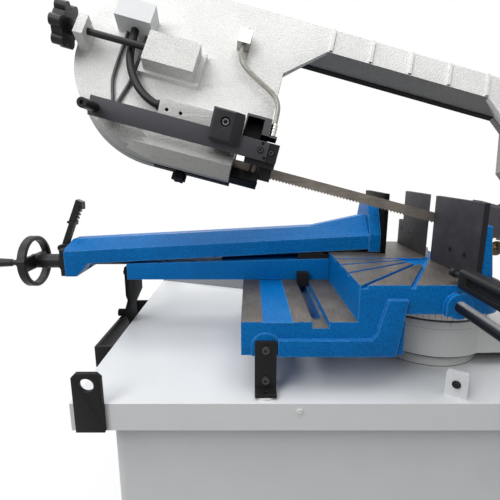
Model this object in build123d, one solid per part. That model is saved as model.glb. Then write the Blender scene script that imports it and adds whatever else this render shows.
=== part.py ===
from build123d import *
import os
from math import sin, cos, tan, radians, hypot

os.makedirs("parts", exist_ok=True)

# All sizes are millimetres. Machine coordinates: the swivel axis is X = Y = 0, the machined
# table top is Z = 0, X runs from the hand wheel to the bow pivot, Y is the feed direction.

# fits
run_gap = 0.05       # running fit, radial
slide_gap = 0.05     # flat faces that slide on each other
air_gap = 0.3        # curved faces of different bodies
band_gap = 0.6       # wheel rim to the inside of the band

# stand
floor_z = -880
sheet = 4
tray_left = -843
tray_right = 363
tray_front = -283
tray_back = 603
tray_top = -240
tray_skirt = 62
side_overhang = 60   # tray past the cabinet
front_overhang = 60
back_overhang = 198
chute_width = 510
chute_drop = 40
cabinet_corner = 25
foot_width = 30
foot_thick = 8
anchor_hole = 8
lug_wide = 60
lug_thick = 10
lug_rise = 73        # lug above the tray
lug_corner = 9
lug_hole = 15
lug_inset = 43
rail_reach = 48      # side rail out from the tray
rail_near = -30
rail_far = 345
rail_plate = 8

# table casting
table_left = -246
table_right = 62
table_front = -237
table_back = 237
table_thick = 63
deck_wide = 244
deck_top = -80
cast_bottom = -155
cast_wall = 16
deck_slot_inset = 76.5   # middle of the slot from the table's side
deck_slot_wide = 35
deck_slot_deep = 14
deck_slot_narrow = 21
groove_wide = 9
groove_deep = 8
groove_start = 70
groove_angles = (0, 15, 30, 45, 60)

# turntable
drum_r = 150
drum_top = -118
drum_bottom = -209
lip_high = 18        # band round the drum's upper end
lip_out = 1.5
post_r = 58
ring_r = 132

# fixed jaws
jaw_thick = 12
jaw_high = 165
near_jaw_start = -9
near_jaw_end = -216
far_jaw_start = 18
far_jaw_end = 220
far_notch_y = 187
far_notch_z = 76

# vise
vise_y = 145         # middle plane of the moving vise
bar_inset = 20       # bar end inside the tray's edge
bar_clear = 1        # bar end to the table's side
bar_half = 73
trough = 14          # half width of the bar's groove
bar_top_left = -33
bar_top_right = -18
spindle_z = -42
spindle_r = 11
arm_half = 76
arm_past_bar = 175
arm_right = -122
arm_bevel_run = 55
arm_bevel_rise = 26
arm_side = 38        # upright front of the arm
arm_slope = 0.0535
jaw_face_x = -93
jaw_half = 87
jaw_plate = 14
head_thick = 31      # plate behind the moving jaw

# bow, drawn with the blade level and then raised about the pivot
bow_raise = 14.56
bow_lean = 25
teeth_z = -5
blade_wide = 27
blade_thick = 0.9
tooth_pitch = 8.5
tooth_deep = 3.6
pivot_x = 372.5
pivot_z = -100
wheel_r = 195
idler_x = -775
drive_x = 410
wheel_half = 15
house_clear = 42     # wheel to the outside of the housing
beam_drop = 30.9     # upper run of the band to the underside of the beam
nose_end = -572
throat_left = -505
throat_right = 150
web_out = 42
web_in = 30
rim_back = -24
lid_back = -40
wall = 12


def box(x0, x1, y0, y1, z0, z1):
    return Pos((x0 + x1) / 2, (y0 + y1) / 2, (z0 + z1) / 2) * Box(x1 - x0, y1 - y0, z1 - z0)


def plate_z(points, z0, z1):
    """Outline in X and Y, thick from z0 to z1."""
    face = Plane((0, 0, z0)) * Polygon(*points, align=None)
    return extrude(face, amount=z1 - z0, dir=(0, 0, 1))


def plate_y(points, y0, y1):
    """Outline in X and Z, thick from y0 to y1."""
    face = Plane((0, y0, 0), x_dir=(1, 0, 0), z_dir=(0, -1, 0)) * Polygon(*points, align=None)
    return extrude(face, amount=y1 - y0, dir=(0, 1, 0))


def plate_x(points, x0, x1):
    """Outline in Y and Z, thick from x0 to x1."""
    face = Plane((x0, 0, 0), x_dir=(0, 1, 0), z_dir=(1, 0, 0)) * Polygon(*points, align=None)
    return extrude(face, amount=x1 - x0, dir=(1, 0, 0))


def rod(start, end, r):
    """Round bar between two points."""
    a = Vector(*start)
    b = Vector(*end)
    face = Plane(a, z_dir=(b - a).normalized()) * Circle(r)
    return extrude(face, amount=(b - a).length)


def tube(start, end, r, bore):
    a = Vector(*start)
    b = Vector(*end)
    face = Plane(a, z_dir=(b - a).normalized()) * (Circle(r) - Circle(bore))
    return extrude(face, amount=(b - a).length)


def socket_screw(seat, out, r, high):
    """Cylinder-head screw with a hexagon socket; seat is on the clamped face, out points away."""
    a = Vector(*seat)
    d = Vector(*out).normalized()
    head = extrude(Plane(a, z_dir=d) * Circle(r), amount=high)
    key = extrude(Plane(a + d * (high * 0.4), z_dir=d) * RegularPolygon(r * 0.55, 6), amount=high)
    return head - key


def hex_bolt(seat, out, r, high):
    a = Vector(*seat)
    d = Vector(*out).normalized()
    return extrude(Plane(a, z_dir=d) * RegularPolygon(r, 6), amount=high)


def group(solids):
    return Compound(children=[s.solid() if hasattr(s, "solid") else s for s in solids])


pieces = {}

# stand
cab_left = tray_left + side_overhang
cab_right = tray_right - side_overhang
cab_front = tray_front + front_overhang
cab_back = tray_back - back_overhang
cab_top = tray_top - sheet
stand_x = (cab_left + cab_right) / 2
stand_y = (cab_front + cab_back) / 2
chute_left = stand_x - chute_width / 2
chute_right = stand_x + chute_width / 2
chute_start = cab_back + 10

shell = box(cab_left, cab_right, cab_front, cab_back, floor_z, cab_top)
shell = fillet(shell.edges().filter_by(Axis.Z), cabinet_corner)
inside = box(cab_left + sheet, cab_right - sheet, cab_front + sheet, cab_back - sheet,
             floor_z, cab_top - sheet)
inside = fillet(inside.edges().filter_by(Axis.Z), cabinet_corner - sheet)
foot = box(cab_left - foot_width, cab_right + foot_width, cab_front - foot_width, cab_back + foot_width,
           floor_z, floor_z + foot_thick)
foot = fillet(foot.edges().filter_by(Axis.Z), cabinet_corner)
cabinet = shell + foot - inside
for x in (cab_left - foot_width / 2, cab_right + foot_width / 2):
    for y in (cab_front - foot_width / 2, cab_back + foot_width / 2):
        cabinet -= rod((x, y, floor_z - 1), (x, y, floor_z + foot_thick + 1), anchor_hole)
pieces["base_cabinet"] = cabinet

flat = plate_z([(tray_left, tray_front), (tray_right, tray_front), (tray_right, tray_back),
                (chute_right, chute_start), (chute_left, chute_start), (tray_left, tray_back)],
               tray_top - sheet, tray_top)
low = tray_top - chute_drop


def facet(points):
    face = Face(Wire(Polyline(*points, close=True).edges()))
    return extrude(face, amount=sheet, dir=(0, 0, -1))


tray = flat
tray += facet([(tray_left, tray_back, tray_top), (chute_left, chute_start, tray_top),
               (chute_left, tray_back, low)])
tray += facet([(chute_left, chute_start, tray_top), (chute_right, chute_start, tray_top),
               (chute_right, tray_back, low), (chute_left, tray_back, low)])
tray += facet([(tray_right, tray_back, tray_top), (chute_right, chute_start, tray_top),
               (chute_right, tray_back, low)])
skirt_low = tray_top - tray_skirt
tray += box(tray_left, tray_right, tray_front, tray_front + sheet, skirt_low, tray_top)
tray += box(tray_left, tray_left + sheet, tray_front, tray_back, skirt_low, tray_top)
tray += box(tray_right - sheet, tray_right, tray_front, tray_back, skirt_low, tray_top)
tray += plate_y([(tray_left, tray_top), (chute_left, low), (chute_right, low), (tray_right, tray_top),
                 (tray_right, skirt_low), (tray_left, skirt_low)], tray_back - sheet, tray_back)
wall_top = tray_top + 5
for side_x, chute_x in ((tray_left, chute_left), (tray_right, chute_right)):
    tray += plate_y([(side_x, tray_top), (chute_x, low), (chute_x, wall_top), (side_x, wall_top)],
                    tray_back - sheet, tray_back)

lug_top = tray_top + lug_rise
lug_hole_z = lug_top - 26


def lug(x, y):
    c = lug_corner
    half = lug_wide / 2
    outline = [(x - half, skirt_low + 2), (x + half, skirt_low + 2), (x + half, lug_top - c),
               (x + half - c, lug_top), (x - half + c, lug_top), (x - half, lug_top - c)]
    plate = plate_y(outline, y, y + lug_thick)
    return plate - rod((x, y - 1, lug_hole_z), (x, y + lug_thick + 1, lug_hole_z), lug_hole)


lug_x = (tray_left + lug_inset, tray_right - lug_inset)
pieces["lifting_lugs"] = group([lug(x, y) for x in lug_x for y in (tray_front - lug_thick, tray_back)])

skirt_screw_z = tray_top - 17
screws = []
for x in (tray_left + 475, tray_right - 131):
    screws.append(rod((x, tray_front, skirt_screw_z), (x, tray_front - 3, skirt_screw_z), 5.5))

# turntable and table
seat = tube((0, 0, tray_top), (0, 0, drum_bottom - slide_gap), ring_r, post_r - 1)
seat += rod((0, 0, tray_top), (0, 0, -table_thick), post_r)
pieces["turntable_seat"] = seat
scale = tube((0, 0, drum_top + 0.4), (0, 0, -table_thick), drum_r, post_r)
for i in range(-6, 7):
    tall = 24 if i % 2 == 0 else 16
    mark = box(drum_r - 1, drum_r + 1, -0.8, 0.8, drum_top + 6, drum_top + tall)
    scale -= Rot(0, 0, -90 + i * 7.5) * mark
pieces["scale_ring"] = scale

corner = 48
deck_left = table_left - deck_wide
deck_slot_x = table_left - deck_slot_inset
top_plate = box(table_left, table_right, table_front, table_back, -table_thick, 0)
right_edges = top_plate.edges().filter_by(Axis.Z).sort_by(Axis.X)[-2:]
top_plate = fillet(right_edges, corner)
deck = box(deck_left, table_left + 100, table_front, table_back, cast_bottom, deck_top)
riser = plate_y([(table_left, -table_thick), (table_left, cast_bottom), (table_left + 80, cast_bottom),
                 (table_left + 96, -table_thick)], table_front, table_back)
table = top_plate + deck + riser
table -= Pos(0, 0, (cast_bottom - 1 - table_thick) / 2) * Cylinder(drum_r + 6, -table_thick - cast_bottom + 1)
# front rib that carries the deck
rib_thick = 9
rib_low = cast_bottom + 37
rib_high = -30
rib_left = deck_left + 78
rib_foot = table_left + 40
rib = [(rib_left, cast_bottom), (rib_foot + 42, cast_bottom), (rib_foot + 59, rib_high),
       (rib_foot + 18, rib_high), (rib_foot, rib_low + 14), (rib_foot - 10, rib_low), (rib_left, rib_low)]
table += plate_y(rib, table_front - rib_thick, table_front)
table += plate_y(rib, table_back, table_back + rib_thick)
# seat of the support bracket: an arched pad
pad_x = deck_left + 52
pad_thick = 4
pad_r = 30
pad_z = cast_bottom + 21
arch = rod((pad_x, table_front - pad_thick, pad_z), (pad_x, table_front, pad_z), pad_r)
arch += box(pad_x - pad_r, pad_x + pad_r, table_front - pad_thick, table_front, cast_bottom, pad_z)
arch &= box(deck_left, pad_x + 24, table_front - pad_thick, table_front, cast_bottom, deck_top)
table += arch
# boss of the bar stop
boss_x = -44
boss_z = -42
boss_r = 27
stop_boss = rod((boss_x, table_front - 14, boss_z), (boss_x, table_front + 40, boss_z), boss_r)
stop_boss += box(boss_x - boss_r, boss_x + boss_r, table_front - 14, table_front + 40, -table_thick, boss_z)
table += stop_boss
rod_r = 12
rod_hole_end = table_front + 70
table -= rod((boss_x, table_front - 20, boss_z), (boss_x, rod_hole_end, boss_z), rod_r)
# slot of the deck: a wide upper part and a narrow one through the casting, round at both ends
slot_a = deck_slot_x - deck_slot_wide / 2
slot_b = deck_slot_x + deck_slot_wide / 2
table -= box(slot_a, slot_b, table_front - 10, table_back + 1, deck_top - deck_slot_deep, deck_top + 1)
slot_half = deck_slot_narrow / 2
slot_near = table_front + 52 + slot_half
slot_far = table_back - 60 - slot_half
table -= box(deck_slot_x - slot_half, deck_slot_x + slot_half, slot_near, slot_far, cast_bottom - 1, deck_top)
for y in (slot_near, slot_far):
    table -= rod((deck_slot_x, y, cast_bottom - 1), (deck_slot_x, y, deck_top), slot_half)
# hollow underside
deck_thick = 24
core_front = table_front + cast_wall
core_back = table_back - cast_wall
for x0, x1 in ((deck_left + cast_wall, slot_a - 12), (slot_b + 12, table_left - 6)):
    table -= box(x0, x1, core_front, core_back, cast_bottom - 1, deck_top - deck_thick)
core_in = drum_r + 22
for y0, y1 in ((core_front, -core_in), (core_in, core_back)):
    table -= box(table_left + cast_wall, boss_x - boss_r - 5, y0, y1, cast_bottom - 1, -22)
# relieved strip of the deck
strip_left = deck_left + 46
strip_wide = 63
table -= box(strip_left, strip_left + strip_wide, table_front - 1, table_back + 1,
             deck_top - 1.5, deck_top + 1)
# fan of blade grooves, each past the table's edge
reach = hypot(table_left, table_front) + 20
for angle in groove_angles:
    cut = box(-reach, -groove_start, -groove_wide / 2, groove_wide / 2, -groove_deep, 1)
    cut &= Rot(0, 0, -angle) * box(table_left - 1, 0, table_front - 1, table_back, -groove_deep, 1)
    table -= Rot(0, 0, angle) * cut


def sector(r, a0, a1, z0, z1):
    steps = 6
    points = [(0, 0)]
    for i in range(steps + 1):
        a = radians(a0 + (a1 - a0) * i / steps)
        points.append((r * cos(a), r * sin(a)))
    return plate_z(points, z0, z1)


hub_r = 84
table -= sector(hub_r, 176, 244, -groove_deep, 1)
table -= sector(200, -6, 66, -groove_deep, 1)
table -= Pos(0, 0, -groove_deep / 2 + 0.5) * Cylinder(14, groove_deep + 1)
pieces["table_casting"] = table

foot_z = tray_top + 5
strap_out = table_front - pad_thick
tray += rod((pad_x, strap_out - 15, tray_top - 1), (pad_x, strap_out - 15, foot_z), 19)
pieces["base_tray"] = tray
bracket = box(pad_x - 23, pad_x + 23, strap_out - 8, strap_out, foot_z, pad_z + 15)
bracket += box(pad_x - 23, pad_x + 23, strap_out - 30, strap_out, foot_z, foot_z + 8)
bracket = fillet(bracket.edges().filter_by(Axis.Y).sort_by(Axis.Z)[-2:], 5)
bracket -= rod((pad_x, strap_out - 22, foot_z - 1), (pad_x, strap_out - 22, foot_z + 9), 5)
pieces["support_bracket"] = bracket

# fixed jaws
pieces["near_fixed_jaw"] = box(0, jaw_thick, near_jaw_end, near_jaw_start, 0, jaw_high)
relief = jaw_thick * tan(radians(60)) + 6
far_jaw = plate_z([(0, far_jaw_start), (0, far_jaw_end), (jaw_thick, far_jaw_end),
                   (jaw_thick, far_jaw_start + relief)], 0, jaw_high)
far_jaw -= box(-1, jaw_thick + 1, far_notch_y, far_jaw_end + 1, far_notch_z, jaw_high + 1)
pieces["far_fixed_jaw"] = far_jaw


def angle_bracket(y0, y1, high, deep):
    """Upright on a foot with two gussets, behind a jaw."""
    part = box(jaw_thick, jaw_thick + 14, y0, y1, 0, high)
    part += box(jaw_thick, jaw_thick + deep, y0, y1, 0, 16)
    for y in (y0, y1 - 12):
        part += plate_y([(jaw_thick + 14, 16), (jaw_thick + deep, 16), (jaw_thick + 14, high - 12)],
                        y, y + 12)
    return part


near_bracket = angle_bracket(near_jaw_end + 4, near_jaw_end + 146, jaw_high - 47, 26)
far_bracket = angle_bracket(far_jaw_end - 104, far_jaw_end - 2, far_notch_z - 6, 26)
pieces["jaw_brackets"] = group([near_bracket, far_bracket])

for y, z in ((near_jaw_end + 50, 47), (near_jaw_end + 113, 47)):
    screws.append(socket_screw((0, y, z), (-1, 0, 0), 6, 0.6))
for y, z in ((far_jaw_end - 94, 54), (far_jaw_end - 20, 54)):
    screws.append(socket_screw((0, y, z), (-1, 0, 0), 6, 0.6))
for z in (pad_z - 3, foot_z + 29):
    screws.append(socket_screw((pad_x, strap_out - 8, z), (0, -1, 0), 8, 6))
screws.append(socket_screw((boss_x, table_front - 4, boss_z + boss_r), (0, 0, 1), 4, 1.5))
pieces["base_screws"] = group(screws)

# swivel stop on the tray
stop_turn = -36
block_x = -36
block_y = -258


def at_stop(shape):
    return Pos(block_x, block_y, tray_top) * Rot(0, 0, stop_turn) * shape


block = box(-21, 21, -6, 6, 0, 58)
block = fillet(block.edges().filter_by(Axis.Y).sort_by(Axis.Z)[-2:], 4)
block -= rod((0, -10, 32), (0, 10, 32), 5)
pieces["swivel_stop_block"] = at_stop(block)
button = rod((0, -6, 32), (0, -13, 32), 8.5)
button = chamfer(button.faces().sort_by(Axis.Y)[0].edges(), 4, 3)
bolt = button + rod((0, -6, 32), (0, 22, 32), 5)
bolt += tube((0, 6, 32), (0, 14, 32), 9, 4)
bolt += rod((0, 22, 32), (0, 34, 32), 12)
pieces["stop_screw"] = at_stop(bolt)

# bar stop
rod_front = -560
pieces["stop_rod"] = rod((boss_x, rod_front, boss_z), (boss_x, rod_hole_end, boss_z), rod_r)
stop_z = 20
clamp_y0 = rod_front + 55
clamp_y1 = clamp_y0 + 40
arm_y1 = table_front - 21
stop_arm = box(boss_x - 17, boss_x + 17, clamp_y0, clamp_y1, boss_z - 22, stop_z + 20)
stop_arm += box(boss_x - 15, boss_x + 15, clamp_y0, arm_y1, stop_z - 18, stop_z + 20)
stop_arm = fillet(stop_arm.edges().filter_by(Axis.Y).sort_by(Axis.Z)[-2:], 8)
stop_arm -= box(boss_x - 20, boss_x - 7, clamp_y1 + 10, arm_y1 - 26, stop_z - 8, stop_z + 9)
stop_arm -= rod((boss_x, clamp_y0 - 1, boss_z), (boss_x, clamp_y1 + 1, boss_z), rod_r + run_gap)
pieces["stop_arm"] = stop_arm
pin_neck = arm_y1 + 38
pin = rod((boss_x, arm_y1, stop_z), (boss_x, pin_neck, stop_z), 6)
pin += rod((boss_x, pin_neck, stop_z), (boss_x, pin_neck + 12, stop_z), 9)
pieces["stop_pin"] = pin

# vise on the deck
bar_left = tray_left + bar_inset
bar_end = table_left - bar_clear
bar_front = vise_y - bar_half
bar_back = vise_y + bar_half
bar_low = deck_top + slide_gap
bar = plate_y([(bar_left, bar_low), (bar_end, bar_low), (bar_end, bar_top_right), (bar_left, bar_top_left)],
              bar_front, bar_back)
trough_low = spindle_z - spindle_r - 5
bar -= box(bar_left - 1, bar_end + 1, vise_y - trough, vise_y + trough, trough_low, 10)
for y in (bar_front + 38, bar_back - 38):
    bar -= box(bar_left + 40, deck_left - 20, y - 20, y + 20, bar_low - 1, trough_low - 4)
pieces["vise_bar"] = bar

key_in = bar_front - 22
key = box(slot_a + 1.5, slot_b - 1.5, key_in, bar_front, deck_top + 0.5, -54)
key_low = deck_top - deck_slot_deep + 0.5
key += box(slot_a + run_gap, slot_b - run_gap, key_in, bar_front + 60, key_low, deck_top - 0.5)
key += box(slot_a + 1.5, slot_b - 1.5, key_in, bar_front, deck_top - 2, deck_top + 2)
pieces["slot_key"] = key

gib_left = bar_end - 88


def bar_top_at(x):
    return bar_top_left + (bar_top_right - bar_top_left) * (x - bar_left) / (bar_end - bar_left)


gib_top = -6
pieces["gib_block"] = plate_y([(gib_left, bar_top_at(gib_left)), (bar_end, bar_top_right), (bar_end, gib_top),
                               (gib_left, gib_top)], bar_front + 2, vise_y - trough)

hang_x = bar_left - 8
leg_x = hang_x - 22
hang_low = tray_top - 32
hanger = plate_y([(bar_left, -44), (bar_left, -150), (leg_x + 8, -196), (leg_x + 8, hang_low),
                  (leg_x, hang_low), (leg_x, -194), (hang_x, -147), (hang_x, -44)], bar_front, bar_back)
hanger -= plate_x([(bar_front - 1, -128), (bar_front + 78, tray_top), (bar_front + 78, hang_low - 28),
                   (bar_front - 1, hang_low - 28)], leg_x - 26, bar_left + 10)
hanger -= box(hang_x - 1, bar_left + 1, vise_y - trough - 4, vise_y + trough + 4, trough_low - 4, 0)
pieces["vise_hanger"] = hanger
bolts = []
for y in (bar_front + 18, bar_back - 18):
    bolts.append(hex_bolt((hang_x, y, -62), (-1, 0, 0), 8, 6))

# side rail on the stand that the hanger runs in
rail_out = tray_left - rail_reach
rail_low = skirt_low + 4
rail_high = tray_top + 2
rail = box(rail_out, rail_out + rail_plate, rail_near, rail_far, rail_low, rail_high)
for y in (rail_near, rail_far - rail_plate):
    rail += box(rail_out, tray_left, y, y + rail_plate, rail_low, rail_high)
rail += box(tray_left - 6, tray_left, rail_near, rail_far, rail_low, hang_low - 6)
pieces["vise_rail"] = rail
stud_y = bar_back - 26
stud_z = rail_high + 12
stud_end = rail_out - 6
stud = rod((leg_x, stud_y, stud_z), (stud_end, stud_y, stud_z), 6)
stud += rod((leg_x - 18, stud_y, stud_z), (stud_end, stud_y, stud_z), 12)
bolts.append(stud)
pieces["hanger_bolts"] = group(bolts)

# vise arm


def arm_low_at(x):
    return 18 + x * arm_slope


def arm_facet_at(x):
    return arm_low_at(x) + arm_side


arm_front = vise_y - arm_half
arm_back = vise_y + arm_half
arm_left = bar_left - arm_past_bar
block_right = arm_left + 32
bottom_left = spindle_z - 28


def arm_section(x, low):
    high = arm_facet_at(x)
    ridge = high + arm_bevel_rise
    return [(x, arm_front, low), (x, arm_front, high), (x, arm_front + arm_bevel_run, ridge),
            (x, arm_back - arm_bevel_run, ridge), (x, arm_back, high), (x, arm_back, low)]


def prism_between(first, second):
    a = Face(Wire(Polyline(*first, close=True).edges()))
    b = Face(Wire(Polyline(*second, close=True).edges()))
    return loft([a, b], ruled=True)


arm = prism_between(arm_section(arm_left, arm_low_at(arm_left)),
                    arm_section(arm_right, arm_low_at(arm_right)))
block_tip = block_right + 34
arm += plate_y([(arm_left, bottom_left), (block_right, bottom_left), (block_tip, arm_low_at(block_tip)),
                (block_tip, 0), (arm_left, 0)], arm_front, arm_back)
# bevelled left end
end_top = 8
arm -= plate_y([(arm_left - 1, end_top), (arm_left - 1, 90), (arm_left + 30, 90)],
               arm_front - 1, arm_back + 1)
head_back = jaw_face_x - jaw_plate
head_top = jaw_high - 27
head_left = head_back - head_thick
head_shoulder = 52
head = plate_x([(arm_front - 4, 4), (arm_front - 4, head_shoulder), (arm_front + 38, head_top),
                (arm_back - 38, head_top), (arm_back + 4, head_shoulder), (arm_back + 4, 4)],
               head_left, head_back)
arm += head
# wedge that carries the head, rising out of the arm's top
wedge_left = head_left - 165
ridge_half = 12


def wedge_section(x, ridge):
    low = arm_facet_at(x)
    return [(x, arm_front + 8, low), (x, vise_y - ridge_half, ridge), (x, vise_y + ridge_half, ridge),
            (x, arm_back - 8, low)]


wedge_start = arm_facet_at(wedge_left) + arm_bevel_rise - 1
arm += prism_between(wedge_section(wedge_left, wedge_start), wedge_section(head_left + 2, head_top - 37))
# clearance for the spindle
screw_end = bar_left + 163
arm -= box(block_right, screw_end + 20, vise_y - trough - 2, vise_y + trough + 2, bottom_left - 1,
           spindle_z + spindle_r + 4)
arm -= rod((arm_left - 1, vise_y, spindle_z), (block_right + 40, vise_y, spindle_z), spindle_r + run_gap)
# open underside left and right of the keel
arm_skin = 44


def under(x, y0, y1):
    """Section of the hollow at x, below the arm's skin."""
    top = arm_facet_at(x) + arm_bevel_rise - arm_skin
    return [(x, y0, top - 64), (x, y1, top - 64), (x, y1, top), (x, y0, top)]


for side in (-1, 1):
    y0, y1 = sorted((vise_y + side * (trough + 10), vise_y + side * (arm_half - 12)))
    arm -= prism_between(under(arm_left + 98, y0, y1), under(arm_right - 38, y0, y1))
# keel bar under the arm, which runs in the trough of the vise bar
keel_half = trough - run_gap
keel_a = bar_left + 268
keel_b = bar_end - 83
keel_low = trough_low + 4
keel = plate_y([(keel_a, keel_low), (keel_b, keel_low), (keel_b, arm_low_at(keel_b)),
                (keel_a, arm_low_at(keel_a))], vise_y - keel_half, vise_y + keel_half)
pieces["vise_arm"] = group([arm, keel])

moving = box(head_back, jaw_face_x, vise_y - jaw_half, vise_y + jaw_half, 0.1, jaw_high)
pieces["moving_jaw"] = moving

plate_left = arm_left - 12
end_plate = box(plate_left, arm_left, arm_front + 1, arm_back - 1, bottom_left, end_top)
end_plate = fillet(end_plate.edges().filter_by(Axis.X), 4)
lever_x = arm_left - 26
lever_z = 4
ear_r = 10
for y in (vise_y - 34, vise_y + 12):
    ear = box(lever_x, arm_left, y, y + 10, lever_z - ear_r, lever_z + ear_r)
    ear += rod((lever_x, y, lever_z), (lever_x, y + 10, lever_z), ear_r)
    end_plate += ear
collar_end = plate_left - 30
end_plate += tube((plate_left, vise_y, spindle_z), (collar_end, vise_y, spindle_z), 28, spindle_r + run_gap)
end_plate -= rod((arm_left + 1, vise_y, spindle_z), (plate_left - 40, vise_y, spindle_z), spindle_r + run_gap)
pin_r = 6
lever_pin = rod((lever_x, vise_y - 36, lever_z), (lever_x, vise_y + 24, lever_z), pin_r)
end_plate += lever_pin
pieces["vise_end_plate"] = end_plate

lever_lean = 23
lever = rod((0, vise_y - 23.7, 0), (0, vise_y + 11.7, 0), 9.5)
stem = box(-8, 8, vise_y - 14, vise_y + 2, 0, 84)
grip_top = 148
grip = plate_y([(-9, 78), (10, 78), (10, grip_top - 22), (17, grip_top - 20), (9, grip_top), (-9, grip_top)],
               vise_y - 18, vise_y + 6)
for i in range(5):
    notch = 86 + i * 11
    grip -= plate_y([(11, notch), (11, notch + 8), (4, notch + 3)], vise_y - 30, vise_y + 30)
grip += box(-12, 10, vise_y - 20, vise_y + 8, 74, 80)
lever = lever + stem + grip
lever -= rod((0, vise_y - 60, 0), (0, vise_y + 60, 0), pin_r + run_gap)
pieces["clamp_lever"] = Pos(lever_x, 0, lever_z) * Rot(0, lever_lean, 0) * lever

# spindle and hand wheel
wheel_left = plate_left - 125
rim_r = 76
rim_wide = 25
spindle = rod((wheel_left + 6, vise_y, spindle_z), (screw_end, vise_y, spindle_z), spindle_r)
pieces["lead_screw"] = spindle
nut = box(bar_left, bar_left + 38, vise_y - trough, vise_y + trough, trough_low, spindle_z + spindle_r + 3)
nut -= rod((bar_left - 1, vise_y, spindle_z), (bar_left + 40, vise_y, spindle_z), spindle_r + run_gap)
pieces["spindle_nut"] = nut

rim_thick = 12
wheel = tube((0, 0, 0), (rim_wide, 0, 0), rim_r, rim_r - rim_thick)
wheel = chamfer(wheel.edges().filter_by(GeomType.CIRCLE), 2.5)
wheel += tube((6, 0, 0), (collar_end - 2 - wheel_left, 0, 0), 21, spindle_r)
wheel += box(8, 19, -rim_r + 4, rim_r - 4, -20, 20)
wheel -= rod((-5, 0, 0), (120, 0, 0), spindle_r)
# crank grip, a little above the spokes
grip_angle = radians(9.5)
grip_reach = rim_r - rim_thick / 2
grip_y = -grip_reach * cos(grip_angle)
grip_z = grip_reach * sin(grip_angle)
wheel += rod((0, grip_y, grip_z), (rim_wide, grip_y, grip_z), 11)
wheel += rod((0, grip_y, grip_z), (-96, grip_y, grip_z), 5)
wheel += rod((-90, grip_y, grip_z), (-96, grip_y, grip_z), 8)
pieces["hand_wheel"] = Pos(wheel_left, vise_y, spindle_z) * wheel
grip_bore = 5 + run_gap
profile = [(-88, 9), (-84, 11), (-50, 12.5), (-14, 10.5), (-9, 7.5), (-3, 7.5), (-3, grip_bore),
           (-88, grip_bore)]
turned = revolve(Polygon(*profile, align=None), axis=Axis.X)
pieces["crank_grip"] = Pos(wheel_left, vise_y + grip_y, spindle_z + grip_z) * turned

# swivel arm
drum = tube((0, 0, drum_bottom), (0, 0, drum_top), drum_r, post_r + air_gap)
drum = chamfer(drum.edges().filter_by(GeomType.CIRCLE).sort_by(Axis.Z)[:1], 2)
drum += tube((0, 0, drum_top - lip_high), (0, 0, drum_top), drum_r + lip_out, drum_r - 5)
arm_end = pivot_x + 62
shelf_top = -150
swing = plate_z([(0, -132), (260, -118), (arm_end, -96), (arm_end, 96), (260, 118), (0, 132)],
                drum_bottom, shelf_top)
swing -= Pos(0, 0, -180) * Cylinder(drum_r - 20, 200)
swing += drum
swing -= box(190, arm_end - 30, -78, 78, drum_bottom - 1, shelf_top - 18)
ear_in = 62
ear_out = 88
shaft_r = 15
for side in (-1, 1):
    y0, y1 = sorted((side * ear_in, side * ear_out))
    cheek = plate_y([(pivot_x - 66, shelf_top), (pivot_x + 58, shelf_top), (pivot_x + 26, pivot_z + 10),
                     (pivot_x - 26, pivot_z + 10)], y0, y1)
    cheek += rod((pivot_x, y0, pivot_z), (pivot_x, y1, pivot_z), 31)
    swing += cheek
swing -= rod((pivot_x, -120, pivot_z), (pivot_x, 120, pivot_z), shaft_r)
# pointer over the scale
swing += box(-5, 5, -drum_r - 3, -drum_r + 20, drum_top - 12, drum_top)
pieces["swivel_arm"] = swing
pieces["pivot_shaft"] = rod((pivot_x, -ear_out - 6, pivot_z), (pivot_x, ear_out + 6, pivot_z), shaft_r)

# bow
lean = radians(bow_lean)
along_v = Vector(0, sin(lean), cos(lean))
along_n = Vector(0, -cos(lean), sin(lean))
line_z = teeth_z + blade_wide / 2


def bow_point(x, v, n):
    return Vector(x, 0, line_z) + along_v * v + along_n * n


def bow_plane(n):
    """Plane of the bow: local x along the blade, local y up the bow, normal to the front."""
    return Plane(bow_point(0, 0, n), x_dir=(1, 0, 0), z_dir=along_n)


def bow_plate(sketch, n0, n1):
    return extrude(bow_plane(n0) * sketch, amount=n1 - n0, dir=along_n)


def bow_rod(x0, v0, n0, x1, v1, n1, r):
    return rod(bow_point(x0, v0, n0), bow_point(x1, v1, n1), r)


def bow_box(x0, x1, v0, v1, n0, n1):
    return bow_plate(Pos((x0 + x1) / 2, (v0 + v1) / 2) * Rectangle(x1 - x0, v1 - v0), n0, n1)


wheel_v = wheel_r + blade_thick / 2
house_r = wheel_r + house_clear
house_low = wheel_v - house_r
top_v = wheel_v + house_r
beam_low = 2 * wheel_v - beam_drop


def grown(points, amount):
    """Counter-clockwise outline with every side moved outwards by amount."""
    moved = []
    total = len(points)
    for i in range(total):
        p = points[i - 1]
        q = points[i]
        r = points[(i + 1) % total]
        first = hypot(q[0] - p[0], q[1] - p[1])
        second = hypot(r[0] - q[0], r[1] - q[1])
        a = ((q[1] - p[1]) / first, (p[0] - q[0]) / first)
        b = ((r[1] - q[1]) / second, (q[0] - r[0]) / second)
        k = amount / (1 + a[0] * b[0] + a[1] * b[1])
        moved.append((q[0] + (a[0] + b[0]) * k, q[1] + (a[1] + b[1]) * k))
    return moved


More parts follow.
